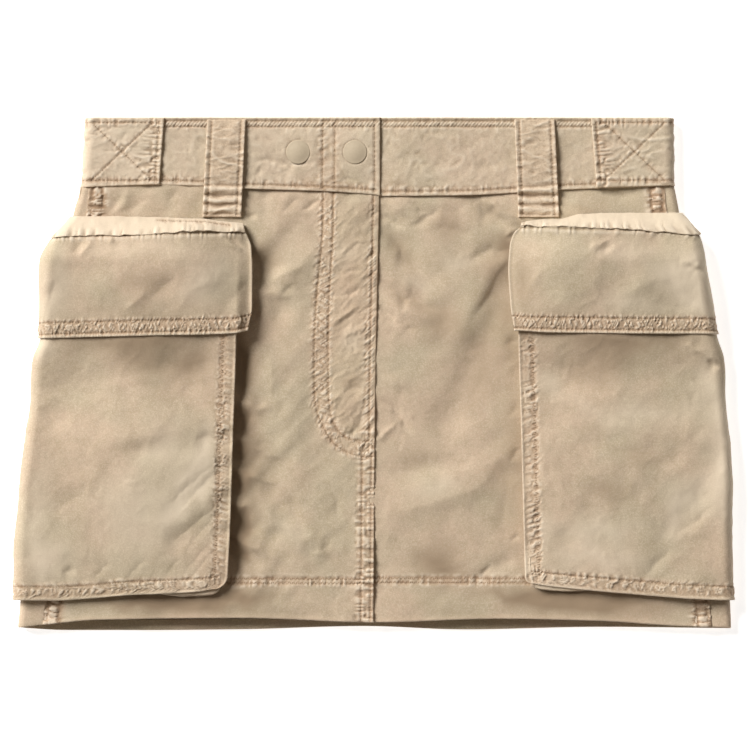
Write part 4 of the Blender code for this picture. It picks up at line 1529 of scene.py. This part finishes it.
def spread(piece, name, values):
    """Keep a value or a pair of values for each corner of a piece."""
    if values.ndim == 1:
        kept = piece.data.attributes.new(name, "FLOAT", "POINT")
        kept.data.foreach_set("value", values.astype(np.float32))
        return
    kept = piece.data.attributes.new(name, "FLOAT_VECTOR", "POINT")
    full = np.concatenate((values, np.zeros((len(values), 1))), axis=1)
    kept.data.foreach_set("vector", full.astype(np.float32).ravel())


def finish_piece(piece, material):
    """Give a piece its material and its place on the body."""
    piece.data.materials.append(material)
    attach(piece, "root")


def ring_faces(rings, sides):
    """Corner numbers of the faces between rings of corners."""
    faces = []
    for ring in range(rings - 1):
        for n in range(sides):
            a = ring * sides + n
            b = ring * sides + (n + 1) % sides
            faces.append((a, b, b + sides, a + sides))
    return np.array(faces)


def stitches(name, first, middle, last, up):
    """Beads of thread, each one thin at its ends, where it goes down into the cloth."""
    along = last - first
    length = np.linalg.norm(along, axis=-1, keepdims=True)
    along = along / length
    aside = np.cross(along, up)
    aside /= np.linalg.norm(aside, axis=-1, keepdims=True)
    turns = np.linspace(0.0, 2.0 * np.pi, THREAD_SIDES, endpoint=False)
    parts = []
    for share, width, lift in THREAD_PROFILE:
        centre = first * (1 - share) ** 2 + 2 * middle * share * (1 - share) + last * share**2
        centre = centre + up * lift
        for turn in turns:
            off = aside * np.cos(turn) + 0.7 * up * np.sin(turn)
            parts.append(centre + off * width * THREAD_WIDTH / 2.0)
    corners = np.stack(parts, axis=1)
    count, per_stitch = corners.shape[:2]
    faces = ring_faces(len(THREAD_PROFILE), THREAD_SIDES)
    every = faces[None] + np.arange(count)[:, None, None] * per_stitch
    return mesh_object(name, corners.reshape(-1, 3), every.reshape(-1, 4))


# ---------------------------------------------------------------- materials


def new_material(name, sockets):
    """Make a material, set its shader's sockets, and give back both."""
    made = bpy.data.materials.new(name)
    made.use_nodes = True
    shader = made.node_tree.nodes["Principled BSDF"]
    for socket, value in sockets.items():
        shader.inputs[socket].default_value = value
    return made, shader


class Look:
    """A material with a pattern, and short ways to add its nodes."""

    def __init__(self, name, sockets):
        self.made, self.shader = new_material(name, sockets)
        self.place = self.node("TexCoord", "Object", {})

    def give(self, socket, value):
        """Link an output to a socket, or set the socket to a value."""
        if isinstance(value, bpy.types.NodeSocket):
            self.made.node_tree.links.new(value, socket)
        else:
            socket.default_value = value

    def node(self, kind, output, inputs, **settings):
        """Add a node with its settings and inputs, and give back one of its outputs."""
        node = self.made.node_tree.nodes.new(f"ShaderNode{kind}")
        for name, value in settings.items():
            setattr(node, name, value)
        for name, value in inputs.items():
            self.give(node.inputs[name], value)
        return node.outputs[output]

    def noise(self, scale, detail):
        """A noise texture over the place."""
        inputs = {"Vector": self.place, "Scale": scale, "Detail": detail}
        return self.node("TexNoise", "Fac", inputs)

    def ranged(self, source, low, high, amount, start=0.0):
        """Map a range of a value onto amounts from a start on."""
        ends = {"From Min": low, "From Max": high, "To Min": start, "To Max": amount}
        return self.node("MapRange", "Result", {"Value": source, **ends})

    def mixed(self, share, first, second):
        """Mix two colours by a share."""
        return self.node("Mix", 2, {0: share, 6: first, 7: second}, data_type="RGBA")

    def math(self, way, first, second=0.0):
        """Combine two values."""
        return self.node("Math", 0, {0: first, 1: second}, operation=way)

    def kept(self, name, output="Fac"):
        """What a piece keeps for each of its corners."""
        return self.node("Attribute", output, {}, attribute_name=name)

    def toned(self, colour, value, tones):
        """Mix in a colour over each range of a value."""
        for low, high, amount, tone in tones:
            colour = self.mixed(self.ranged(value, low, high, amount), colour, tone)
        return colour

    def clouded(self, colour, clouds):
        """Mix in colours by noises of a scale and a detail."""
        for scale, detail, *tone in clouds:
            colour = self.toned(colour, self.noise(scale, detail), [tone])
        return colour

    def weave(self):
        """Height of a plain weave, with threads along both measures of the cloth."""
        waves = []
        for axis in ("X", "Y"):
            measure = self.node("SeparateXYZ", axis, {0: self.kept("cloth_place", "Vector")})
            turn = self.math("MULTIPLY", measure, 2.0 * np.pi / WEAVE_PITCH)
            waves.append(self.math("SINE", turn))
        return self.math("MULTIPLY", *waves)

    def finish(self, colour, height, strength, distance):
        """Give the shader its colour, and its bumps by their height."""
        self.give(self.shader.inputs["Base Color"], colour)
        inputs = {"Height": height, "Strength": strength, "Distance": distance}
        self.give(self.shader.inputs["Normal"], self.node("Bump", "Normal", inputs))
        return self.made


def canvas():
    """Washed cotton: a fine weave, cloudy dye, colour that is rubbed off along its seams, and
    painted shade and highlight.
    """
    look = Look("washed_canvas", CANVAS_SOCKETS)
    seam = look.kept("seam_tint")
    speck = look.ranged(look.noise(*PIT_NOISE), *PIT_RANGE)
    pitted = look.math("MULTIPLY", speck, look.ranged(seam, *PITTED_SEAM))
    colour = look.clouded(KHAKI, CANVAS_CLOUDS)
    # Painted shade and highlight, with some deeper and paler dye.
    colour = look.toned(colour, look.kept("shade_and_dye"), SHADE_AND_DYE_TONES)
    colour = look.mixed(seam, colour, SEAM_TAN)
    colour = look.mixed(pitted, colour, SEAM_SPECK)
    # Puckers' ridges rubbed paler, and painted shade in their hollows.
    colour = look.toned(colour, look.kept("wear_and_hollow_shade"), WEAR_AND_SHADE_TONES)
    woven = look.math("MULTIPLY", look.weave(), WEAVE_HEIGHT)
    height = look.math("ADD", woven, look.noise(*SLUB_NOISE))
    height = look.math("SUBTRACT", height, look.math("MULTIPLY", pitted, PIT_DEPTH))
    return look.finish(colour, height, *CANVAS_BUMP)


def shaded_cotton_thread():
    """Cotton sewing thread, twisted, its colour darkened with painted shade of the stitches and
    needle holes.
    """
    look = Look("shaded_cotton_thread", THREAD_SOCKETS)
    colour = look.clouded(SHADED_THREAD_TAN, THREAD_CLOUDS)
    return look.finish(colour, look.noise(*THREAD_NOISE), *THREAD_BUMP)


def enamel():
    """Baked enamel on the snap caps, a little dull, with faint specks."""
    look = Look("snap_enamel", {})
    specks = look.noise(*ENAMEL_NOISE)
    colour = look.toned(ENAMEL, specks, ENAMEL_TONES)
    look.give(look.shader.inputs["Roughness"], look.ranged(specks, *ENAMEL_ROUGH))
    return look.finish(colour, specks, *ENAMEL_BUMP)


CANVAS = canvas()
THREAD = shaded_cotton_thread()
ENAMELLED = enamel()


# ---------------------------------------------------------------- the pieces


def straight(u0, v0, u1, v1):
    """A straight row."""
    return rounded([(u0, v0), (u1, v1)], 1)


def along_edge(source, column, away, low, high):
    """A row up the cloth that keeps its distance from an edge given by height."""
    level = np.linspace(low, high, EDGE_POINTS)
    return np.stack((read(source, column, level) + away, level), axis=-1)


def across_edge(source, column, away, start, end):
    """A row across the cloth that keeps its distance from an edge given across."""
    u = np.linspace(start, end, EDGE_POINTS)
    return np.stack((u, read(source, column, u) + away), axis=-1)


def between(first, second):
    """The line half way between two others."""
    share = np.linspace(0.0, 1.0, BETWEEN_POINTS)
    spots = []
    for line in (first, second):
        run = run_along(line)
        spot = [np.interp(share * run[-1], run, line[:, n]) for n in (0, 1)]
        spots.append(np.stack(spot, axis=-1))
    return (spots[0] + spots[1]) / 2.0


def hem_rows(sheet, start, end, seed):
    """Two close rows of the hem, with small puckers round them."""
    lines = [straight(start, level, end, level - 0.6) for level in (-127.6, -130.2)]
    sheet.sew_rows(lines, seed, 3, size=1.8, reach=(2.4, 2.4), pitch=1.3, zigzag=1.3)


def tucked_top(surface):
    """Carry a front on up under the waistband, a little lower than the band."""

    def deeper(part, level):
        x, y, z = surface(part, level)
        under = during(level, *TUCK_SPAN)
        return x, y + TUCK_DEPTH * under, z - TUCK_DROP * under

    return deeper


def worn(sheet, seed, amount=1.0):
    """The soft unevenness of washed cotton, from broad waves down to fine crumples."""
    for layers, add in ((WORN_LUMPS, sheet.wrinkle), (WORN_RIDGES, sheet.crumple)):
        add(*((size, rise * amount, seed + step) for size, rise, step in layers))


def side_seam_rows(sheet, hand, seed):
    """The puckered rows beside a side seam."""
    lines = []
    for away in (-2.2, -8.4):
        x = SIGN[hand] * (read(SIDE_SEAM, hand, np.array(SEAM_SPAN)) + away)
        lines.append(straight(x[0], SEAM_SPAN[0], x[1], SEAM_SPAN[1]))
    sheet.sew_rows(lines, seed, 0, rise=0.25, size=2.4, reach=(3.0, 3.0), tint=0.8, pitch=2.2)
    sheet.gather(between(*lines), seed + 3, reach=6.5, rise=0.6, size=2.1, slant=0.15, tint=0.9)


def crumpled_fly(sheet):
    """Fine slanting crumples on the doubled cloth of the fly, inside its topstitching."""
    on_fly = during(sheet.u, *FLY_ACROSS) * during(sheet.v, *FLY_UP) * during(sheet.v, *FLY_DOWN)
    slanting = streaks(sheet.u, sheet.v, 36, 2.2, 11, 29)
    sheet.rise += on_fly * (0.21 * slanting + 0.16 * crumple(sheet.u, sheet.v, 5.0, 33))
    sheet.tinge(0.22 * on_fly)


def fly_rows(sheet):
    """The fly's topstitching, and the rows along the free edge above and below it."""
    outer, inner = rounded(FLY_OUTER), rounded(FLY_INNER)
    sheet.gather(between(outer, inner), 23, reach=6.4, rise=0.26, size=1.7, slant=0.6, tint=0.6)
    fly = {"rise": 0.21, "size": 1.7, "slant": 0.7, "rope": 0.1, "pitch": 1.7}
    sheet.sew(outer, 31, reach=(3.0, 4.0), **fly)
    sheet.sew(inner, 35, reach=(4.0, 3.0), **fly)
    line = along_edge(FLY_EDGE, "x", -3.2, -50, 76)
    sheet.sew(line, 41, rise=0.34, reach=(5.0, 3.2), slant=0.9, rope=0.2, pitch=2.0)
    line = along_edge(FLY_EDGE, "x", -3.2, 76, 114)
    sheet.sew(line, 45, rise=0.14, size=1.8, reach=(3.5, 2.6), slant=0.9, rope=0.08, pitch=2.4)
    lines = [along_edge(FLY_EDGE, "x", away, -156, -49) for away in (-7.4, -1.6)]
    sheet.sew_rows(lines, 51, 4, rise=0.5, size=2.2, pitch=2.0)
    sheet.sew(straight(-8.4, -36.4, -1, -36.4), 61, rise=0.2, size=1.4, sink=-0.5, pitch=None)


def left_front():
    """The left half, with the fly's topstitching and the free edge that laps over."""
    across = stations((12, 1.0), (92, 2.0), (60, 1.1), (44, 0.6))
    along = heights(FRONT_ROWS[0], (36, 0.75), (190, 0.68), (45, 0.72))
    sheet = Sheet("front_left", tucked_top(skirt_front("left")), across, along)
    worn(sheet, 11)
    sheet.streak((50, 7, 45, 0.3, 27))
    sheet.crease(LEFT_CREASES)
    # Painted shade and highlight in the colour.
    sheet.shade(FRONT_SHADES["left"])
    crumpled_fly(sheet)
    fly_rows(sheet)
    hem_rows(sheet, -204, -2, 65)
    side_seam_rows(sheet, "left", 71)
    sheet.edge(sheet.v - read(FRONT_HEM, "y", sheet.u), 0.3, 1.6, 0.25)
    return sheet.build()


def right_front():
    """The right half, which runs on under the left one."""
    across = stations((11, 1.3), (22, 0.7), (85, 1.25), (92, 2.2), (12, 1.0))
    along = heights(FRONT_ROWS[0], (36, 0.75), (190, 0.85), (45, 0.75))
    sheet = Sheet("front_right", tucked_top(skirt_front("right")), across, along)
    worn(sheet, 91, 0.9)
    sheet.streak((-45, 9, 50, 0.3, 103))
    sheet.crease(RIGHT_CREASES)
    # Painted shade and highlight in the colour.
    sheet.shade(FRONT_SHADES["right"])
    sheet.rise -= UNDERLAP_SINK * during(sheet.u, *UNDERLAP_SINKS)
    hem_rows(sheet, -8, 207, 107)
    side_seam_rows(sheet, "right", 115)
    sheet.edge(sheet.v - read(FRONT_HEM, "y", sheet.u), 0.3, 1.6, 0.25)
    return sheet.build()


def back():
    """The back, round both sides."""
    across = stations((10, 1.6), (14, 1.2), (430, 3.2), (14, 1.2), (10, 1.6))
    along = heights(BACK_ROWS[0], (30, 1.4), (246, 2.8))
    sheet = Sheet("back", skirt_back, across, along)
    worn(sheet, 131, 0.8)
    sheet.streak((70, 12, 70, 0.6, 143), (20, 10, 50, 0.3, 145))
    return sheet.build()


def level_rows(start, end, downs):
    """Straight rows across the waistband, by their distances down from the waist."""
    return [straight(start, WAIST_Y - down, end, WAIST_Y - down) for down in downs]


def band_back():
    """The back of the waistband."""
    sheet = Sheet("waistband_back", waistband_back, stations((360, 1.5)), np.linspace(0, 1, 40))
    worn(sheet, 151, 0.5)
    rows = level_rows(-182, 186, (2.0, 5.4))
    sheet.sew_rows(rows, 161, 3, rise=0.14, size=2.2, reach=(2.5, 2.5), tint=0.3)
    return sheet.build()


def band_rows(sheet, start, end, seed):
    """The waistband's rows: a slanting cover stitch along its top, and one along its lower edge."""
    rows = level_rows(start, end, (1.7, 5.4))
    sheet.sew_rows(rows, seed, 3, rise=0.16, size=2.0, reach=(2.4, 2.4), tint=0.4, pitch=2.2)
    down = WAIST_Y - HATCH_DOWN - sheet.v
    hatch = np.cos(2.0 * np.pi * (sheet.u + 0.8 * down) / 2.2)
    sheet.pucker += 0.3 * hatch * bell(down, HATCH_REACH, 4)
    lower = across_edge(BAND_EDGE, "y", 2.5, start, end)
    sheet.sew(lower, seed + 7, rise=0.26, size=1.6, reach=(3.8, 2.0), tint=0.55, pitch=2.0)


def closure_rows(sheet):
    """The rows at the waistband's overlapping end, and the dishes round its snaps."""
    end_row = straight(0.1, 115, -0.1, 158)
    sheet.sew(end_row, 231, rise=0.16, size=1.8, reach=(2.6, 2.6), rope=0.08, tint=0.4)
    rows = [straight(x, 116, x + 0.4, 157) for x in (-32.8, -25.2)]
    sheet.sew_rows(rows, 235, 4, rise=0.24, size=2.2, slant=0.4, tint=0.5)
    for x in SNAP_X.values():
        sheet.dish(x, SNAP_Y)


def band_front(hand):
    """One half of the waistband's front."""
    across = stations((230 if hand == "right" else 170, 0.75))
    along = stations((7, 0.6), (30, 0.9), (8, 0.5))
    sheet = Sheet(f"waistband_{hand}", waistband_front(hand), across, along)
    seed = {"left": 171, "right": 201}[hand]
    worn(sheet, seed, 0.55)
    sheet.rumple((11, 0.22, 1.2, seed + 3), (5, 0.12, 1.0, seed + 6), (2.4, 0.07, 1.3, seed + 9))
    sheet.crease(BAND_CREASES[hand])
    # Painted shade and highlight in the colour.
    sheet.shade(BAND_SHADES[hand])
    start, end = (-165, 1.5) if hand == "left" else (6.0, 169)
    band_rows(sheet, start, end, seed + 13)
    if hand == "left":
        closure_rows(sheet)
    # Painted highlight with some paler dye over the whole band.
    sheet.shade_and_fade += BAND_PALE[hand]
    sheet.edge(WAIST_Y - sheet.v, 0.3, 1.2, 0.1)
    sheet.edge(sheet.v - read(BAND_EDGE, "y", sheet.u), 0.3, 1.1, 0.2)
    return sheet.build()


def tab(hand):
    """A side tab, sewn down all round and quilted with a cross."""
    across = ordered(hand, wrapping(TAB_SHARES, ((46, 0.6),), 16, 10))
    sheet = Sheet(f"side_tab_{hand}", side_tab(hand), across, stations((43, 0.6)))
    sheet.unroll(hand, lambda v: read(TAB_INNER, hand, v))
    seed = {"left": 251, "right": 281}[hand]
    worn(sheet, seed, 0.5)
    sheet.rumple((10, 0.32, 2.0, seed + 12), (4.0, 0.2, 2.0, seed + 15))
    low, high = read(TAB_INNER, hand, np.array((118.0, 159.0)))
    inner_row = straight(low + 2.4, 120, high + 2.4, 158)
    sheet.sew(inner_row, seed + 18, rise=0.5, size=2.2, reach=(2.4, 9.0), pitch=3.1)
    rows = [straight(low, level, 232, level) for level in (157.2, 121.0)]
    sheet.sew_rows(rows, seed + 22, 3, size=2.2, reach=(3.0, 3.0), pitch=2.6)
    cross = [straight(low + 4, a, low + 42, b) for a, b in ((121.0, 157.0), (157.0, 121.0))]
    sheet.sew_rows(cross, seed + 28, 3, rise=0.18, size=2.0, tint=0.3, pitch=2.0)
    sheet.edge(sheet.u - read(TAB_INNER, hand, sheet.v), 0.45, 1.2, 0.2)
    sheet.edge(sheet.v - TAB_LOW_Y, 0.3, 1.2, 0.2)
    # Painted highlight with some paler dye over the whole tab.
    sheet.shade_and_fade += TAB_PALE[hand]
    return sheet.build(tuck=3.0)


def loop(hand):
    """A belt loop, creased across, with pleats in its lower end."""
    sheet = Sheet(f"belt_loop_{hand}", belt_loop(hand), stations((23, 0.5)), stations((60, 0.5)))
    seed = {"left": 311, "right": 321}[hand]
    sheet.wrinkle((5, 0.15, seed))
    sheet.rumple((8, 0.48, 2.2, seed + 2), (3.6, 0.24, 2.4, seed + 5))
    upper = during(sheet.v, *PLEATS_END)
    bent = sheet.v + 0.7 * noise(sheet.u, sheet.v, (7.0, 12.0), seed + 8)
    for level, rise, width in LOOP_PLEATS:
        sheet.pucker += rise * (1.0 - upper) * bell(bent - level, width, 1.5)
    rows = [
        along_edge(LOOP_EDGES, f"{hand}_{side}", away, 100, 158)
        for side, away in (("start", 2.4), ("end", -2.4))
    ]
    sheet.sew_rows(rows, seed + 4, 3, rise=0.08, reach=(2.6, 2.6), tint=0.12, pitch=2.2)
    from_start = sheet.u - read(LOOP_EDGES, f"{hand}_start", sheet.v)
    to_end = read(LOOP_EDGES, f"{hand}_end", sheet.v) - sheet.u
    sheet.edge(np.minimum(from_start, to_end), 0.3, 0.9, 0.1)
    # Painted highlight with some paler dye, less of it towards the top.
    sheet.shade_and_fade += LOOP_PALE - LOOP_TOP_DEEPER * upper
    sheet.tinge(LOOP_TINGE)
    return sheet.build(tuck=3.0)


def bag(hand):
    """A pocket's face, and the part that goes round the side."""
    across = ordered(hand, wrapping(BAG_SHARES, ((14, 0.5), (106, 0.8)), 26, 8))
    along = heights(BAG_ROWS[0], (13, 0.5), (151, 0.66), (56, 4))
    sheet = Sheet(f"pocket_{hand}", pocket(hand), across, along)
    sheet.unroll(hand, lambda v: bag_inner(hand, v))
    seed = {"left": 341, "right": 371}[hand]
    worn(sheet, seed)
    sheet.crease(BAG_CREASES[hand])
    # Painted shadow under the flap and painted highlight in the colour.
    sheet.shade(BAG_SHADES[hand])
    inner = along_edge(BAG_INNER, hand, 8.0, -127, 24)
    inner_style = {"rise": 0.36, "size": 1.5, "reach": (7.5, 3.4), "slant": 0.25, "rope": 0.1}
    sheet.sew(inner, seed + 14, **inner_style, pitch=1.5, zigzag=2.0)
    low = across_edge(BAG_BOTTOM, hand, 8.0, 98, 236)
    sheet.sew(low, seed + 22, size=2.0, reach=(3.0, 2.0), slant=0.3, rope=0.14, pitch=1.8)
    low = across_edge(BAG_BOTTOM, hand, 4.6, 98, 236)
    sheet.gather(low, seed + 26, reach=3.8, rise=0.3, size=1.3, slant=0.35, tint=0.55)
    sheet.edge(sheet.u - bag_inner(hand, sheet.v), 0.4, 1.0, 0.1)
    sheet.edge(sheet.v - read(BAG_BOTTOM, hand, sheet.u), 0.4, 1.0, 0.1)
    return sheet.build(tuck=2.5)


def gusset_wall(hand):
    """The bellows gusset between a pocket's face and the front."""
    across = ordered(hand, stations((300, 1.2)))
    sheet = Sheet(f"gusset_{hand}", gusset(hand), across, stations((6, 0.8), (4, 0.5)))
    sheet.wrinkle((12, 0.5, 401), (4, 0.15, 403))
    # Painted highlight with some paler dye over the whole gusset.
    sheet.shade_and_fade += GUSSET_PALE
    return sheet.build(roll=0.3, tuck=0.5)


def seam_wave(hand, u):
    """How far a flap's top seam strays from its line."""
    seed = {"left": 411, "right": 415}[hand]
    broad = noise(u, 0.0 * u, (17.0, 1.0), seed)
    return 1.1 * broad + 0.5 * noise(u, 0.0 * u, (5.0, 1.0), seed + 1)


def flap_sheet(hand):
    """A pocket flap."""

    def surface(part, level):
        x, y, z = flap(hand)(part, level)
        return x, y + seam_wave(hand, np.abs(x)) * during(level, *SEAM_WAVES), z

    across = ordered(hand, wrapping(FLAP_SHARES, ((126, 0.5),), 36, 8))
    along = heights(FLAP_ROWS[0], (13, 0.48), (43, 1.0), (10, 0.5))
    sheet = Sheet(f"flap_{hand}", surface, across, along)
    sheet.unroll(hand, lambda v: read(FLAP_INNER, hand, v))
    seed = {"left": 421, "right": 451}[hand]
    worn(sheet, seed)
    sheet.crease(FLAP_CREASES[hand])
    # Painted shade and highlight in the colour.
    sheet.shade(FLAP_SHADES[hand])
    edges = FLAP_EDGES[hand]
    outer, inner, middle = (across_edge(edges, "low", up, 76, 236) for up in (1.9, 9.0, 5.6))
    style = {"rise": 0.2, "size": 1.8, "reach": (2.6, 2.0), "rope": 0.1, "pitch": 1.9}
    sheet.sew_rows((outer, inner), seed + 14, 4, **style)
    sheet.gather(middle, seed + 24, reach=4.8, rise=0.3, size=1.3, slant=0.45, tint=0.6)
    sheet.edge(sheet.v - read(edges, "low", sheet.u), 0.4, 1.0, 0.1)
    sheet.edge(sheet.u - read(FLAP_INNER, hand, sheet.v), 0.5, 1.0, 0.05)
    top = read(edges, "seam", sheet.u) - sheet.v
    sheet.pinch(top, top, 2.6, 3.5, seed + 24)
    sheet.edge(top, -0.8, 1.3)
    return sheet.build(tuck=1.6)


def flap_roof(hand):
    """The wall from a flap's top seam back to the skirt."""

    def surface(part, rearwards):
        x, y, z = flap_wall(hand)(part, rearwards)
        y = y + (seam_wave(hand, np.abs(x)) - ROOF_SETBACK) * (1.0 - rearwards)
        return x, y, z + ROOF_BULGE * np.sin(np.pi * rearwards) + ROOF_LIFT * (1.0 - rearwards)

    across = ordered(hand, wrapping(FLAP_SHARES, ((126, 0.9),), 24, 10))
    sheet = Sheet(f"flap_top_{hand}", surface, across, stations((13, 0.7)))
    sheet.unroll(hand, lambda v: read(FLAP_INNER, hand, v))
    seed = {"left": 481, "right": 491}[hand]
    sheet.wrinkle((9, 0.4, seed), (3.5, 0.18, seed + 2))
    seam = read(FLAP_EDGES[hand], "seam", sheet.u) + seam_wave(hand, sheet.u)
    sheet.pinch(sheet.v - seam, sheet.v, 2.8, 4.0, seed + 4)
    if hand == "left":
        rear = across_edge(FLAP_EDGES[hand], "rear", -1.8, 91, 136)
        sheet.sew(rear, seed + 6, size=1.6, reach=(1.6, 2.6), tint=0.5, pitch=1.8)
    # Painted highlight on the roof, which faces the light.
    sheet.shade_and_fade += ROOF_HIGHLIGHT
    return sheet.build(roll=0.4, tuck=1.5)


def snap(node, centre_x):
    """A low enamelled cap with a rolled rim."""
    turns = np.linspace(0.0, 2.0 * np.pi, SNAP_TURNS, endpoint=False)
    base, top = (corner.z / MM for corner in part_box(node))
    reach, height = np.array(SNAP_PROFILE).T
    x = centre_x + reach[:, None] * np.cos(turns)
    y = SNAP_Y + reach[:, None] * np.sin(turns)
    z = base + height[:, None] * (top - base) + 0.0 * x
    corners = np.stack((x, y, z), axis=-1).reshape(-1, 3)
    piece = mesh_object(f"cap_{node}", corners, ring_faces(len(SNAP_PROFILE), SNAP_TURNS))
    finish_piece(piece, ENAMELLED)
    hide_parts(node)


def dress():
    """Build every piece."""
    back()
    band_back()
    left_front()
    right_front()
    for hand in SIGN:
        band_front(hand)
        tab(hand)
        loop(hand)
        gusset_wall(hand)
        bag(hand)
        flap_roof(hand)
        flap_sheet(hand)
    for node, x in SNAP_X.items():
        snap(node, x)


# ---------------------------------------------------------------- floor, light and camera


def white_floor():
    """A pale floor that shines evenly, so that the skirt lies on plain white."""
    mesh = bpy.data.meshes.new("floor")
    half = FLOOR_SIZE / 2.0
    sides = ((-half, -half), (half, -half), (half, half), (-half, half))
    mesh.from_pydata([(x, y, FLOOR_Z) for x, y in sides], [], [(0, 1, 2, 3)])
    floor = bpy.data.objects.new("floor", mesh)
    bpy.context.scene.collection.objects.link(floor)
    mesh.materials.append(new_material("floor_white", FLOOR_SOCKETS)[0])


def light_from(name, direction, strength, spread_angle, colour):
    """A distant light from a direction."""
    lamp = bpy.data.lights.new(name, "SUN")
    lamp.energy = strength
    lamp.angle = np.radians(spread_angle)
    lamp.color = colour
    holder = bpy.data.objects.new(name, lamp)
    holder.rotation_mode = "QUATERNION"
    holder.rotation_quaternion = Vector(direction).to_track_quat("Z", "Y")
    bpy.context.scene.collection.objects.link(holder)


def studio():
    """Soft light from the upper left, an even fill, and a camera straight above."""
    scene = bpy.context.scene
    white_floor()
    light_from("key", KEY_FROM, KEY_STRENGTH, KEY_SPREAD, KEY_COLOUR)
    world = bpy.data.worlds.new("studio")
    world.use_nodes = True
    backdrop = world.node_tree.nodes["Background"]
    backdrop.inputs["Color"].default_value = FILL_COLOUR
    backdrop.inputs["Strength"].default_value = FILL_STRENGTH
    scene.world = world
    lens = bpy.data.cameras.new("camera")
    lens.lens = LENS
    lens.sensor_width = SENSOR
    lens.clip_end = FAR_CLIP
    camera = bpy.data.objects.new("camera", lens)
    distance = VIEW_WIDTH / SENSOR * LENS
    camera.location = (VIEW_X * MM, VIEW_Y * MM, (VIEW_PLANE + distance) * MM)
    scene.collection.objects.link(camera)
    scene.camera = camera
    scene.view_settings.view_transform = "Standard"


dress()
studio()
